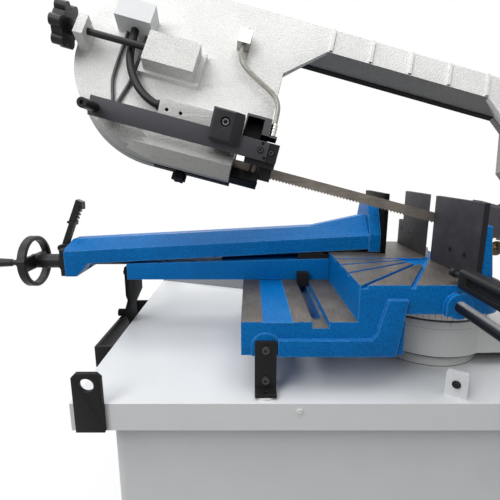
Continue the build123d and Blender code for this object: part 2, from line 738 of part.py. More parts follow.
def bow_outline(corner_cut, amount=0):
    """Outline of the bow; corner_cut bevels the upper throat corners, amount moves the whole edge out."""
    c = corner_cut
    frame = [(idler_x, house_low), (nose_end, house_low), (nose_end, 66), (throat_left, 84),
             (throat_left, beam_low - c), (throat_left + c, beam_low), (throat_right - c, beam_low),
             (throat_right, beam_low - 1.05 * c), (throat_right, 196), (throat_right + 54, 140),
             (throat_right + 86, 40), (throat_right + 150, house_low), (drive_x, house_low),
             (drive_x, top_v), (idler_x, top_v)]
    left = Pos(idler_x, wheel_v) * Circle(house_r + amount)
    right = Pos(drive_x, wheel_v) * Circle(house_r + amount)
    return left + right + Polygon(*grown(frame, amount), align=None)


near_outline = bow_outline(100)
far_outline = bow_outline(34)
casting = bow_plate(near_outline, web_in, web_out)
casting += bow_plate(far_outline - bow_outline(34, -wall), rim_back, web_in)
# gussets in the two throat corners: wide at the front, small at the back
for corner_x, side in ((throat_left, 1), (throat_right, -1)):
    ends = []
    for n, c in ((web_in, 100), (rim_back, 34)):
        ends.append([bow_point(corner_x - side, beam_low + 1, n),
                     bow_point(corner_x + side * c, beam_low + 1, n),
                     bow_point(corner_x - side, beam_low - 1.05 * c, n)])
    casting += prism_between(ends[0], ends[1])
# front boss of the two wheel shafts
casting += bow_plate(Pos(idler_x, wheel_v) * Rectangle(150, 96), web_out, web_out + 14)
casting += bow_plate(Pos(drive_x, wheel_v) * Circle(112), web_out, web_out + 8)
# windows for the blade
window = 20
windows = ((nose_end - 30, nose_end + 10), (throat_right + 75, throat_right + 180))
for x0, x1 in windows:
    casting -= bow_box(x0, x1, -window, window, rim_back - 1, window + 2)
# pad for the guide clamp: upright front face
pad_left = nose_end - 196
pad_right = nose_end - 4
pad_front = -45
casting += plate_x([(pad_front, 74), (pad_front, 114), (12, 117), (-6, 70)], pad_left, pad_right)
for x in (pad_left + 19, pad_left + 52):
    casting -= rod((x, pad_front - 1, 91), (x, pad_front + 12, 91), 3.5)
# nose under the guide bar: two facets that meet in a ridge, tapered into the housing
ridge_y = -72
nose_full = [(-17, 44), (-34, 44), (ridge_y, 4), (-61, -31), (-53, -36)]
nose_thin = [(-17, 44), (-30, 44), (-49, 4), (-60, -16), (-51, -28)]
nose_left = nose_end - 185
casting += plate_x(nose_full, nose_left, nose_end)
nose_tip = nose_left - 62
casting += prism_between([(nose_left, y, z) for y, z in nose_full], [(nose_tip, y, z) for y, z in nose_thin])
# hinge lug
lug_in = ear_in - 0.4
casting += plate_y([(pivot_x - 30, pivot_z), (pivot_x - 62, -8), (pivot_x + 74, -8), (pivot_x + 30, pivot_z)],
                   -50, 2)
casting += rod((pivot_x, -lug_in, pivot_z), (pivot_x, lug_in, pivot_z), 32)
casting -= rod((pivot_x, -lug_in - 1, pivot_z), (pivot_x, lug_in + 1, pivot_z), shaft_r + run_gap)
axle_r = 20
shaft_hole = 24
casting -= bow_rod(idler_x, wheel_v, web_in - 1, idler_x, wheel_v, web_out + 30, axle_r)
casting -= bow_rod(drive_x, wheel_v, web_in - 1, drive_x, wheel_v, web_out + 30, shaft_hole)
# lug that carries the tension screw
nut_x = idler_x - house_r + 12
screw_n = 82
casting += bow_box(nut_x, nut_x + 22, wheel_v - 26, wheel_v + 26, web_in, screw_n + 22)
casting -= bow_rod(nut_x - 5, wheel_v, screw_n, nut_x + 30, wheel_v, screw_n, 8 + run_gap)
# ribs on the front of the beam
beam_mid = (throat_left + throat_right) / 2
for i in range(-2, 3):
    x = beam_mid + i * 110
    casting += bow_box(x - 4, x + 4, beam_low + 2, top_v - 2, web_out, web_out + 5)
pieces["bow_casting"] = casting

lid = bow_plate(far_outline, lid_back, lid_back + 3)
lid_wall = far_outline - bow_outline(34, -3)
lid += bow_plate(lid_wall, lid_back + 3, rim_back)
for x0, x1 in windows:
    lid -= bow_box(x0, x1, -window, window, lid_back + 3, rim_back + 1)
pieces["bow_cover"] = lid
trim_thick = 2.5
trim = bow_outline(34, trim_thick) - far_outline
pieces["cover_trim"] = bow_plate(trim, lid_back, rim_back)

# band wheels


def band_wheel(x, bore):
    rim = Circle(wheel_r - band_gap) - Circle(wheel_r - 30)
    rim = bow_plate(Pos(x, wheel_v) * rim, -wheel_half, wheel_half)
    disc = Pos(x, wheel_v) * Circle(wheel_r - 28)
    hole_at = (wheel_r - 28 + 44) / 2
    for i in range(5):
        a = radians(90 + i * 72)
        disc -= Pos(x + hole_at * cos(a), wheel_v + hole_at * sin(a)) * Circle(34)
    part = rim + bow_plate(disc, -5, 5)
    part += bow_plate(Pos(x, wheel_v) * Circle(44), -wheel_half - 3, wheel_half + 3)
    return part - bow_rod(x, wheel_v, -40, x, wheel_v, 40, bore)


pieces["idler_wheel"] = band_wheel(idler_x, axle_r + run_gap)
shaft_end = 120
drive = band_wheel(drive_x, 12)
drive += bow_rod(drive_x, wheel_v, -20, drive_x, wheel_v, shaft_end, 22)
pieces["drive_wheel"] = drive

slide_front = web_out + 14
axle = bow_rod(idler_x, wheel_v, -23, idler_x, wheel_v, slide_front + 20, axle_r)
axle += bow_rod(idler_x, wheel_v, -23, idler_x, wheel_v, -20, axle_r + 8)
axle += bow_box(idler_x - 62, idler_x + 62, wheel_v - 40, wheel_v + 40, slide_front, slide_front + 40)
axle -= bow_rod(idler_x - 70, wheel_v, screw_n, idler_x - 20, wheel_v, screw_n, 8)
pieces["tension_slide"] = axle
knob_x = nut_x - 46
star_r = 40
star = Circle(star_r)
for i in range(6):
    a = radians(i * 60)
    star += Pos(star_r * cos(a), star_r * sin(a)) * Circle(13)
star_plane = Plane(bow_point(knob_x, wheel_v, screw_n), x_dir=along_v, z_dir=(1, 0, 0))
tension = extrude(star_plane * star, amount=26, dir=(1, 0, 0))
tension += bow_rod(knob_x + 26, wheel_v, screw_n, nut_x - 1, wheel_v, screw_n, 18)
tension += bow_rod(nut_x - 2, wheel_v, screw_n, idler_x - 62.1, wheel_v, screw_n, 8)
pieces["tension_wheel"] = tension

# drive
gear_front = 165
gear_n0 = web_out + 8
gear = bow_plate(Pos(drive_x, wheel_v) * Circle(92), gear_n0, 150)
worm_x = drive_x + 78
gear += bow_box(drive_x + 20, drive_x + 128, wheel_v - 96, wheel_v + 96, 92, gear_front)
gear += bow_plate(Pos(drive_x, wheel_v) * Circle(60), 150, 158)
gear -= bow_rod(drive_x, wheel_v, gear_n0 - 1, drive_x, wheel_v, shaft_end + 2, 22 + run_gap)
pieces["gearbox"] = gear
motor_n = 130
motor_v0 = wheel_v + 96
motor_plane = Plane(bow_point(worm_x, motor_v0, motor_n), x_dir=(1, 0, 0), z_dir=along_v)


def motor_disc(r, v0, v1):
    return extrude(motor_plane.offset(v0) * Circle(r), amount=v1 - v0)


motor = motor_disc(78, 0, 14)
motor += motor_disc(64, 14, 200)
for i in range(18):
    fin = Pos(66, 0, 105) * Box(12, 4, 170)
    motor += motor_plane * Rot(0, 0, i * 20) * fin
motor += motor_disc(74, 194, 246)
pieces["drive_motor"] = motor

# blade: one closed band, teeth down in the cut
half_wide = blade_wide / 2
half_thick = blade_thick / 2
head_a = nose_end + 26
head_b = head_a + 72
cut_left = head_a + 1
cut_right = throat_right - 10
steps = 6


def blade_section(x, angle):
    """Rectangle across the band; angle turns the toothed edge from the feed direction downwards."""
    wide = Vector(0, cos(radians(angle)), -sin(radians(angle))) * half_wide
    thick = Vector(0, sin(radians(angle)), cos(radians(angle))) * half_thick
    middle = Vector(x, 0, line_z)
    return [middle + wide + thick, middle + wide - thick, middle - wide - thick, middle - wide + thick]


def twist(x0, x1, a0, a1):
    faces = []
    for i in range(steps + 1):
        k = i / steps
        points = blade_section(x0 + (x1 - x0) * k, a0 + (a1 - a0) * k)
        faces.append(Face(Wire(Polyline(*points, close=True).edges())))
    return loft(faces, ruled=True)


wrap = Circle(wheel_r + blade_thick) - Circle(wheel_r)
past = 2 * wheel_r
left_wrap = bow_plate(Pos(idler_x, wheel_v) * wrap, -half_wide, half_wide)
right_wrap = bow_plate(Pos(drive_x, wheel_v) * wrap, -half_wide, half_wide)
band = left_wrap & bow_box(idler_x - past, idler_x, -past, 2 * past, -blade_wide, blade_wide)
band += right_wrap & bow_box(drive_x, drive_x + past, -past, 2 * past, -blade_wide, blade_wide)
band += bow_box(idler_x, drive_x, 2 * wheel_v - half_thick, 2 * wheel_v + half_thick, -half_wide, half_wide)
lead_out = 34        # the band leaves the wheel flat before it is turned
band += bow_box(idler_x, idler_x + lead_out, -half_thick, half_thick, -half_wide, half_wide)
band += bow_box(drive_x - lead_out, drive_x, -half_thick, half_thick, -half_wide, half_wide)
band += twist(idler_x + lead_out, cut_left, bow_lean, 90)
band += twist(drive_x - lead_out, cut_right, bow_lean, 90)
root = teeth_z + tooth_deep
edge = [(cut_right, teeth_z + blade_wide), (cut_left, teeth_z + blade_wide)]
count = int((cut_right - cut_left) / tooth_pitch)
for i in range(count):
    x = cut_left + i * tooth_pitch
    edge += [(x, root), (x + 0.72 * tooth_pitch, teeth_z), (x + 0.86 * tooth_pitch, root)]
edge.append((cut_right, root))
band += plate_y(edge, -half_thick, half_thick)
pieces["blade"] = band

# front guide on its sliding bar
arm_a = nose_end - 335
arm_b = head_a + 48
bar_y1 = ridge_y - 2
bar_y0 = bar_y1 - 18
bar_z0 = 33
bar_z1 = 76
pieces["guide_arm"] = box(arm_a, arm_b, bar_y0, bar_y1, bar_z0, bar_z1)
handle = rod((arm_a + 13, bar_y0, 52), (arm_a + 13, bar_y0 - 66, 52), 11)
handle = chamfer(handle.edges().filter_by(GeomType.CIRCLE).sort_by(Axis.Y)[:1], 1.5)
handle -= extrude(Plane((arm_a + 13, bar_y0 - 60, 52), z_dir=(0, -1, 0)) * RegularPolygon(5, 6), amount=10)
pieces["guide_handle"] = handle
head = plate_x([(bar_y1, 36), (bar_y1, 76), (0, 76), (18, 58), (18, 36)], head_a, head_b)
head_front = bar_y0 + 4
head += box(arm_b, head_b, head_front, bar_y1 + 4, bar_z0, bar_z1)
head += box(head_a, head_b, bar_y1, -24, 20, 37)
blade_clear = 0.55
jaw_low = teeth_z - 7
slot_side = half_thick + blade_clear
for side in (-1, 1):
    y0, y1 = sorted((side * slot_side, side * 16))
    head += box(head_a + 40, head_b, y0, y1, jaw_low, 37)
head -= box(head_a - 1, head_b + 1, -slot_side, slot_side, jaw_low - 1, teeth_z + blade_wide + 8)
roller_x = head_a + 27
roller_r = 9
axle_thin = 4
axle_top = 48
roller_names = {-1: "guide_roller_near", 1: "guide_roller_far"}
for side, name in roller_names.items():
    y = side * (roller_r + blade_thick / 2 + 0.1)
    roller = rod((roller_x, y, -1), (roller_x, y, 21), roller_r)
    roller += rod((roller_x, y, 21), (roller_x, y, 35.7), 6)
    roller += rod((roller_x, y, 35.7), (roller_x, y, axle_top), axle_thin)
    pieces[name] = roller
    head -= rod((roller_x, y, 30), (roller_x, y, axle_top + 1), axle_thin + run_gap)
pieces["guide_head"] = head
screws = [socket_screw((arm_b - 17, bar_y0, 56), (0, -1, 0), 7, 4)]
screws.append(socket_screw((arm_b + 8, head_front, 55), (0, -1, 0), 7, 4))
screws.append(socket_screw((arm_b - 15, bar_y0, 71), (0, -1, 0), 3.5, 1))
screws.append(socket_screw((arm_b - 5, bar_y0, 40), (0, -1, 0), 3.5, 1))
pieces["guide_screws"] = group(screws)

block_a = nose_end - 63
block_b = block_a + 48
block_end = block_b + 21
block_front = bar_y0 - 24
block_low = 51
block_high = 119
edge_cut = 5
clamp = plate_z([(block_a, block_front + edge_cut), (block_a + edge_cut, block_front), (block_b, block_front),
                 (block_end, block_front + 16), (block_end, pad_front), (block_a, pad_front)],
                block_low, block_high)
for z, out in ((block_low, -1), (block_high, 1)):
    clamp -= plate_x([(block_front - 1, z - out * edge_cut), (block_front - 1, z + out),
                      (block_front + edge_cut, z + out)], block_a - 1, block_end + 1)
clamp -= box(block_a - 1, block_end + 1, bar_y0 - slide_gap, bar_y1 + slide_gap, 20, bar_z1 + slide_gap)
screw_x = block_a + 31
clamp -= rod((screw_x, block_front - 1, 93), (screw_x, block_front + 10, 93), 11)
clamp += socket_screw((screw_x, block_front + 10, 93), (0, -1, 0), 9, 6)
pieces["clamp_block"] = clamp

# bracket of the coolant hose: a pocketed block with a small shelf
channel_x = nose_end + 7
channel_end = channel_x + 62
channel_low = 58
channel = bow_box(channel_x, channel_end, channel_low, 104, web_out, web_out + 33)
channel -= bow_box(channel_x + 3, channel_end - 18, channel_low - 1, 98, web_out + 6, web_out + 34)
shelf_v = channel_low + 6
channel += bow_box(channel_end - 2, channel_end + 20, channel_low, shelf_v, web_out + 8, web_out + 30)
pieces["hose_bracket"] = channel
hose_x = channel_end + 8
hose_n = web_out + 19
hose_low = 79
fitting = bow_rod(hose_x, shelf_v, hose_n, hose_x, hose_low - 8, hose_n, 8)
fitting += bow_rod(hose_x, hose_low - 8, hose_n, hose_x, hose_low, hose_n, 6.5)

guard_sheet = 4
guard = bow_box(nose_end, nose_end + 70, house_low, house_low + guard_sheet, rim_back + 2, 18)
guard += bow_box(nose_end, nose_end + guard_sheet, house_low, -window - 1, rim_back + 2, 18)
pieces["lower_guard"] = guard

# rear guide, fixed to the front of the bow
rear_a = throat_right - 104
rear_b = throat_right - 20
rear = plate_y([(rear_a + 24, 2), (rear_b, 2), (rear_b, 78), (rear_a, 78)], -44, 10)
rear = chamfer(rear.edges().filter_by(Axis.X).sort_by(Axis.Z)[-2:], 8)
rear += bow_box(throat_right - 50, throat_right + 150, 16, 58, web_out, web_out + 18)
rear -= box(rear_a - 16, rear_b + 10, -slot_side, slot_side, -5, teeth_z + blade_wide + 6)
brush_x = throat_right - 7
brush_r = 20
brush_z = teeth_z - brush_r - 1
pin_thin = 4
brush = tube((brush_x, -16, brush_z), (brush_x, -4, brush_z), brush_r, pin_thin)
pieces["blade_brush"] = brush
holder = plate_y([(brush_x - 9, brush_z - 9), (brush_x + 9, brush_z - 9), (brush_x + 12, 52),
                  (brush_x - 12, 52)], -40, -30)
holder += rod((brush_x, -40, brush_z), (brush_x, -3, brush_z), pin_thin - run_gap)
rear += holder
pieces["rear_guide"] = rear

latch_x = nose_end - 119
knob = bow_rod(latch_x, house_low, 0, latch_x, house_low - 16, 0, 7)
knob_plane = Plane(bow_point(latch_x, house_low - 16, 0), x_dir=(1, 0, 0), z_dir=along_v * -1)
lobes = Circle(13)
for i in range(6):
    a = radians(i * 60)
    lobes += Pos(13 * cos(a), 13 * sin(a)) * Circle(4.5)
knob += extrude(knob_plane * lobes, amount=20)
pieces["latch_knob"] = knob

# wiring and coolant
box_left = idler_x - 155
box_right = idler_x - 67
box_low = wheel_v + 55
pieces["terminal_box"] = bow_box(box_left, box_right, box_low, box_low + 54, web_out, web_out + 55)
switch_x = idler_x - 110
switch_top = 45
switch = bow_box(switch_x - 23, switch_x + 23, 12, switch_top, web_out, web_out + 20)


def cord(points, n, r, bend):
    """Round cord in a plane of the bow: straight runs joined by tangent arcs."""
    path = bow_plane(n) * FilletPolyline(*points, radius=bend)
    return sweep(Plane(path @ 0, z_dir=path % 0) * Circle(r), path=path)


cable_n = web_out + 5
cable_r = 4
outer_x = switch_x - 20
inner_x = switch_x + 27
outer_route = [(switch_x + 3, switch_top), (switch_x + 3, 53), (outer_x, 93), (outer_x, box_low)]
inner_route = [(switch_x + 13, switch_top), (switch_x + 13, 64), (inner_x, 104), (inner_x, box_low)]
pieces["switch_cables"] = group([cord(route, cable_n, cable_r, 28) for route in (outer_route, inner_route)])
power_n = web_out + 20
power_r = 9.5
power_start = pad_left - 8
power_x = switch_x - 5
gland = bow_rod(pad_left, 69, power_n, power_start, 69, power_n, power_r + 3)
pieces["cable_ends"] = group([switch, gland])
power_route = [(power_start, 69), (power_start - 14, 69), (power_x, 148), (power_x, box_low)]
pieces["power_hose"] = cord(power_route, power_n, power_r, 40)
tap_x = hose_x - 125
tap_low = 290
tap = bow_box(tap_x - 16, tap_x + 16, tap_low, tap_low + 40, web_out, hose_n + 14)
tap += bow_rod(tap_x, tap_low + 40, hose_n, tap_x, tap_low + 52, hose_n, 7)
pieces["coolant_fittings"] = group([fitting, tap])
coolant_route = [(hose_x, hose_low), (hose_x, 165), (tap_x, 240), (tap_x, tap_low)]
pieces["coolant_hose"] = cord(coolant_route, hose_n, 6, 48)

bow_nodes = ["bow_casting", "bow_cover", "cover_trim", "idler_wheel", "drive_wheel", "tension_slide",
             "tension_wheel", "gearbox", "drive_motor", "blade", "guide_arm", "guide_handle", "guide_head",
             "guide_roller_near", "guide_roller_far", "guide_screws", "clamp_block", "hose_bracket",
             "lower_guard", "rear_guide", "blade_brush", "latch_knob", "terminal_box", "cable_ends",
             "switch_cables", "power_hose", "coolant_fittings", "coolant_hose"]
pivot = Axis((pivot_x, 0, pivot_z), (0, 1, 0))
for name in bow_nodes:
    pieces[name] = pieces[name].rotate(pivot, bow_raise)

for name, shape in pieces.items():
    export_step(Pos(-stand_x, -stand_y, -floor_z) * shape, "parts/" + name + ".step")
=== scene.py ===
from math import cos, pi, radians, sin

import bpy
import numpy as np
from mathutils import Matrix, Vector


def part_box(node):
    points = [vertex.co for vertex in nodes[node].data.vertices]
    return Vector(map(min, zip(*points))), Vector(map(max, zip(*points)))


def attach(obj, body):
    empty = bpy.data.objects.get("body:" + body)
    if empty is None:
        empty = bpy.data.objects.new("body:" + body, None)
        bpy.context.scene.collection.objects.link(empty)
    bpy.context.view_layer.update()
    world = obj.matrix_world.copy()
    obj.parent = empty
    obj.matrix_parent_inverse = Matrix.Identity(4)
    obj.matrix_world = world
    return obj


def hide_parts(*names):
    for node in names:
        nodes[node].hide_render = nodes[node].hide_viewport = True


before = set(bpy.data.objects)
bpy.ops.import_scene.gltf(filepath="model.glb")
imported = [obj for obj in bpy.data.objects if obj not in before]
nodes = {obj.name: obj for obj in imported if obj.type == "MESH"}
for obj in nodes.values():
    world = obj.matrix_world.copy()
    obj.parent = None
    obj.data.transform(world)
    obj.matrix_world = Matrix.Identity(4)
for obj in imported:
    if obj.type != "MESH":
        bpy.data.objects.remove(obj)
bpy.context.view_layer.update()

# Places, in metres in the frame of the part

table_top = float(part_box("table_casting")[1][2])
deck_top = table_top - 0.080
slot_floor = deck_top - 0.014
tray_top = table_top - 0.240
wall_front = 0.05                                     # the tray's back wall lies behind this
lip_foot = table_top - 0.136                          # lower edge of the lip on the swivel arm's drum
jaw_face = float(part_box("far_fixed_jaw")[0][0]) + 0.001   # the far jaw's marks lie left of this
jaw_holes = ((0.042, 0.931), (0.107, 0.930))          # y and z of the far jaw's screws
machine_zero = np.array([0.240, -0.091, table_top])   # swivel axis at the height of the table
pivot = machine_zero + np.array([0.3725, 0.0, -0.100])
bow_raise = radians(14.56)
bow_lean = radians(25)
blade_line = 0.0085                                   # middle of the blade above the table
bow_web = -0.110                                      # the marks on the bow lie in front of this
coolant_depth = 61                                    # of the coolant hose before the blade, in mm
axis_x, axis_y = np.eye(3)[:2]
blade_axis = np.array([cos(bow_raise), 0.0, -sin(bow_raise)])


def raised(level):
    """Points of the lowered bow turned up about its pivot to where it rests."""
    arm = level - pivot
    turned = arm.copy()
    turned[:, 0] = arm[:, 0] * cos(bow_raise) + arm[:, 2] * sin(bow_raise)
    turned[:, 2] = arm[:, 2] * cos(bow_raise) - arm[:, 0] * sin(bow_raise)
    return turned + pivot


def bow_points(route, depth):
    """Points of the resting bow, from mm along the blade, up the bow and, as depth, to its front."""
    flat = np.array(route, dtype=float) / 1000
    deep = np.broadcast_to(np.array(depth, dtype=float) / 1000, len(flat))
    up = np.array([0.0, sin(bow_lean), cos(bow_lean)])
    front = np.array([0.0, -cos(bow_lean), sin(bow_lean)])
    level = np.zeros((len(flat), 3))
    level[:, 0] = flat[:, 0]
    level[:, 2] = blade_line
    return raised(level + np.outer(flat[:, 1], up) + np.outer(deep, front) + machine_zero)


def bow_point(along, up=0, depth=0):
    """One point of the resting bow, from the same measures."""
    return bow_points([(along, up)], depth)[0]


def on_bow(along, height):
    """X and Z of a mark on the resting bow, from its place on the lowered one."""
    x, _, z = raised(machine_zero + np.array([[along, 0.0, height]]))[0]
    return float(x), float(z)


blade_middle = bow_point(-300)
bow_up = bow_point(-300, up=1000) - blade_middle
bow_front = bow_point(-300, depth=1000) - blade_middle
blade_height = float(blade_middle @ bow_up)
bracket_front = float(blade_middle @ bow_front) + 0.071   # where the hose bracket's flange begins
throat_left = float(bow_point(-500) @ blade_axis)
throat_right = float(bow_point(113) @ blade_axis)
nose_start = float(bow_point(-765) @ blade_axis)
clamp_screw = on_bow(-0.604, 0.093)
pad_holes = on_bow(-0.749, 0.091), on_bow(-0.716, 0.091)
head_screws = on_bow(-0.515, 0.056), on_bow(-0.490, 0.055)


# Shader nodes

def colour(red, green, blue):
    """Colour as seen on a screen, 0 to 255, as the linear values of a shader."""
    part = np.array([red, green, blue]) / 255
    linear = np.where(part <= 0.04045, part / 12.92, ((part + 0.055) / 1.055) ** 2.4)
    return (*linear.tolist(), 1.0)


def feed(tree, socket, value):
    """Links a socket to another one, or gives it a value of its own."""
    if isinstance(value, bpy.types.NodeSocket):
        tree.links.new(value, socket)
    else:
        socket.default_value = value


def math_node(tree, operation, *values, clamp=False):
    """One sum of sockets or numbers; returns its result."""
    node = tree.nodes.new("ShaderNodeMath")
    node.operation = operation
    node.use_clamp = clamp
    for socket, value in zip(node.inputs, values):
        feed(tree, socket, value)
    return node.outputs[0]


def dot_product(tree, vector, way):
    """How far a vector reaches along a way, which is a socket or a list."""
    node = tree.nodes.new("ShaderNodeVectorMath")
    node.operation = "DOT_PRODUCT"
    tree.links.new(vector, node.inputs[0])
    feed(tree, node.inputs[1], way)
    return node.outputs["Value"]


def noise_node(tree, vector, scale, detail, roughness=0.55):
    """Noise on a vector; scale is a socket or a number."""
    node = tree.nodes.new("ShaderNodeTexNoise")
    tree.links.new(vector, node.inputs["Vector"])
    node.inputs["Detail"].default_value = detail
    node.inputs["Roughness"].default_value = roughness
    feed(tree, node.inputs["Scale"], scale)
    return node.outputs[0]


def object_place(tree):
    """Place on the part, in its own frame."""
    return tree.nodes.new("ShaderNodeTexCoord").outputs["Object"]


def surface_normal(tree, kind="True Normal"):
    """Way that the surface faces: the flat face's own, or smoothed by the kind Normal."""
    return tree.nodes.new("ShaderNodeNewGeometry").outputs[kind]


def split_vector(tree, vector):
    """The values of a vector by the names X, Y and Z."""
    node = tree.nodes.new("ShaderNodeSeparateXYZ")
    tree.links.new(vector, node.inputs[0])
    return node.outputs


def split_place(tree):
    """Place on the part as X, Y and Z."""
    return split_vector(tree, object_place(tree))


def split_facing(tree, kind="True Normal"):
    """Way that the surface faces as X, Y and Z."""
    return split_vector(tree, surface_normal(tree, kind))


def along_blade(tree):
    """Place on the part along the blade of the resting bow."""
    return dot_product(tree, object_place(tree), blade_axis.tolist())


def mix_colour(tree, factor, first, second):
    """Blend of two colours, each a socket or a value."""
    node = tree.nodes.new("ShaderNodeMix")
    node.data_type = "RGBA"
    feed(tree, node.inputs["Factor"], factor)
    for label, value in (("A", first), ("B", second)):
        feed(tree, [s for s in node.inputs if s.name == label and s.type == "RGBA"][0], value)
    return [s for s in node.outputs if s.type == "RGBA"][0]


def mix_value(tree, factor, first, second):
    """Blend of two values, each a socket or a number."""
    node = tree.nodes.new("ShaderNodeMix")
    feed(tree, node.inputs["Factor"], factor)
    for place, value in ((2, first), (3, second)):
        feed(tree, node.inputs[place], value)
    return node.outputs[0]


# Shader groups

def new_group(name, inputs, outputs):
    """Empty shader group with named float sockets."""
    tree = bpy.data.node_groups.new(name, "ShaderNodeTree")
    for label, value in inputs.items():
        socket = tree.interface.new_socket(label, in_out="INPUT", socket_type="NodeSocketFloat")
        socket.default_value = value
    for label in outputs:
        tree.interface.new_socket(label, in_out="OUTPUT", socket_type="NodeSocketFloat")
    return tree, tree.nodes.new("NodeGroupInput"), tree.nodes.new("NodeGroupOutput")


def grain_group():
    """Cast skin under paint: lumps for the height, patches broken by specks for the tone."""
    speck_gain = 4.0
    tree, start, end = new_group("cast grain", {"Scale": 300.0, "Patch": 9.0, "Speck": 0.3},
                                 ["Height", "Tone"])
    place = object_place(tree)
    lumps = noise_node(tree, place, start.outputs["Scale"], detail=2.0)
    patches = noise_node(tree, place, start.outputs["Patch"], detail=4.0, roughness=0.6)
    dots = math_node(tree, "MULTIPLY", math_node(tree, "SUBTRACT", lumps, 0.5), speck_gain)
    specks = math_node(tree, "MULTIPLY", dots, start.outputs["Speck"])
    tree.links.new(lumps, end.inputs["Height"])
    tree.links.new(math_node(tree, "ADD", patches, specks, clamp=True), end.inputs["Tone"])
    return tree


def wear_and_highlight_group():
    """Worn edges and painted edge highlights: where a rounded normal leaves the surface's own, broken
    up by noise.
    """
    edge_gain, patch_gain, patch_floor = 6.0, 2.2, 0.4
    tree, start, end = new_group("edge wear and highlight", {"Radius": 0.002, "Patchy": 60.0}, ["Edge"])
    bevel = tree.nodes.new("ShaderNodeBevel")
    bevel.samples = 4
    tree.links.new(start.outputs["Radius"], bevel.inputs["Radius"])
    same = dot_product(tree, bevel.outputs["Normal"], surface_normal(tree, "Normal"))
    away = math_node(tree, "SUBTRACT", 1.0, same)
    strong = math_node(tree, "MULTIPLY", away, edge_gain, clamp=True)
    patchy = noise_node(tree, object_place(tree), start.outputs["Patchy"], detail=3.0)
    patchy = math_node(tree, "MULTIPLY", patchy, patch_gain)
    broken = math_node(tree, "SUBTRACT", patchy, patch_floor, clamp=True)
    tree.links.new(math_node(tree, "MULTIPLY", strong, broken), end.inputs["Edge"])
    return tree


def lines_group():
    """Tool marks: noise drawn out along one axis, as a height and a tone."""
    stain_scale, tone_gain, tone_floor = 22.0, 3.0, 0.3
    stretches = {"Along x": 6.0, "Along y": 400.0, "Along z": 400.0}
    tree, start, end = new_group("tool marks", stretches, ["Height", "Tone"])
    place = object_place(tree)
    stretch = tree.nodes.new("ShaderNodeCombineXYZ")
    for socket, label in zip(stretch.inputs, stretches):
        tree.links.new(start.outputs[label], socket)
    scaled = tree.nodes.new("ShaderNodeVectorMath")
    scaled.operation = "MULTIPLY"
    tree.links.new(place, scaled.inputs[0])
    tree.links.new(stretch.outputs[0], scaled.inputs[1])
    marks = noise_node(tree, scaled.outputs[0], 1.0, detail=4.0, roughness=0.65)
    stains = noise_node(tree, place, stain_scale, detail=5.0, roughness=0.6)
    both = math_node(tree, "MULTIPLY", math_node(tree, "MULTIPLY", marks, stains), tone_gain)
    tree.links.new(marks, end.inputs["Height"])
    tree.links.new(math_node(tree, "SUBTRACT", both, tone_floor, clamp=True), end.inputs["Tone"])
    return tree


def level_group():
    """Mask of the level faces at one height of the part."""
    level_facing = 0.9                                # least Z of a level face's normal
    tree, start, end = new_group("level", {"Level": 0.0, "Band": 0.0008}, ["Mask"])
    off = math_node(tree, "SUBTRACT", split_place(tree)["Z"], start.outputs["Level"])
    near = math_node(tree, "LESS_THAN", math_node(tree, "ABSOLUTE", off), start.outputs["Band"])
    level = math_node(tree, "GREATER_THAN", split_facing(tree)["Z"], level_facing)
    tree.links.new(math_node(tree, "MULTIPLY", near, level), end.inputs["Mask"])
    return tree


def painted_low_shade_group():
    """Painted shade on the housing left of the throat: darkest at the bottom, fading out up the bow.
    """
    wave_scale, wave_height = 14.0, 0.03
    end_facing = 0.45                                 # a face turned further right gets none of the painted shade
    ledge_facing, ledge_unshaded = 0.6, 0.6              # a face turned further up loses this share
    tree, start, end = new_group("painted low shade", {"Low": 0.0, "High": 0.065, "Most": 0.62}, ["Soil"])
    low, high, most = (start.outputs[label] for label in ("Low", "High", "Most"))
    place = object_place(tree)
    left = math_node(tree, "LESS_THAN", along_blade(tree), throat_left)
    climb = math_node(tree, "SUBTRACT", dot_product(tree, place, bow_up.tolist()), blade_height)
    wave = math_node(tree, "SUBTRACT", noise_node(tree, place, wave_scale, detail=3.0), 0.5)
    climb = math_node(tree, "ADD", climb, math_node(tree, "MULTIPLY", wave, wave_height))
    span = math_node(tree, "SUBTRACT", high, low)
    unshaded = math_node(tree, "DIVIDE", math_node(tree, "SUBTRACT", climb, low), span, clamp=True)
    darkening = math_node(tree, "MULTIPLY", math_node(tree, "SUBTRACT", 1.0, unshaded), most)
    facing = split_facing(tree)
    not_end = math_node(tree, "LESS_THAN", facing["X"], end_facing)
    ledge = math_node(tree, "GREATER_THAN", facing["Z"], ledge_facing)
    kept = math_node(tree, "SUBTRACT", 1.0, math_node(tree, "MULTIPLY", ledge, ledge_unshaded))
    for share in (not_end, kept, left):
        darkening = math_node(tree, "MULTIPLY", darkening, share)
    tree.links.new(darkening, end.inputs["Soil"])
    return tree


def round_group(name, across, along, limit):
    """Ring round an axis of the part: 1 between two radii, below a limit along the axis."""
    inputs = {"Centre first": 0.0, "Centre second": 0.0, "Inner": 0.0, "Outer": 0.004}
    tree, start, end = new_group(name, inputs, ["Mask"])
    place = split_place(tree)
    squares = []
    for label, axis in zip(("Centre first", "Centre second"), across):
        off = math_node(tree, "SUBTRACT", place[axis], start.outputs[label])
        squares.append(math_node(tree, "MULTIPLY", off, off))
    radius = math_node(tree, "SQRT", math_node(tree, "ADD", *squares))
    inside = math_node(tree, "LESS_THAN", radius, start.outputs["Outer"])
    outside = math_node(tree, "GREATER_THAN", radius, start.outputs["Inner"])
    ring = math_node(tree, "MULTIPLY", inside, outside)
    front = math_node(tree, "LESS_THAN", place[along], limit)
    tree.links.new(math_node(tree, "MULTIPLY", ring, front), end.inputs["Mask"])
    return tree


cast_grain = grain_group()
edge_wear_and_highlight = wear_and_highlight_group()
tool_marks = lines_group()
level_mask = level_group()
painted_low_shade = painted_low_shade_group()
bow_round = round_group("bow mark", ("X", "Z"), "Y", bow_web)
jaw_round = round_group("jaw mark", ("Y", "Z"), "X", jaw_face)
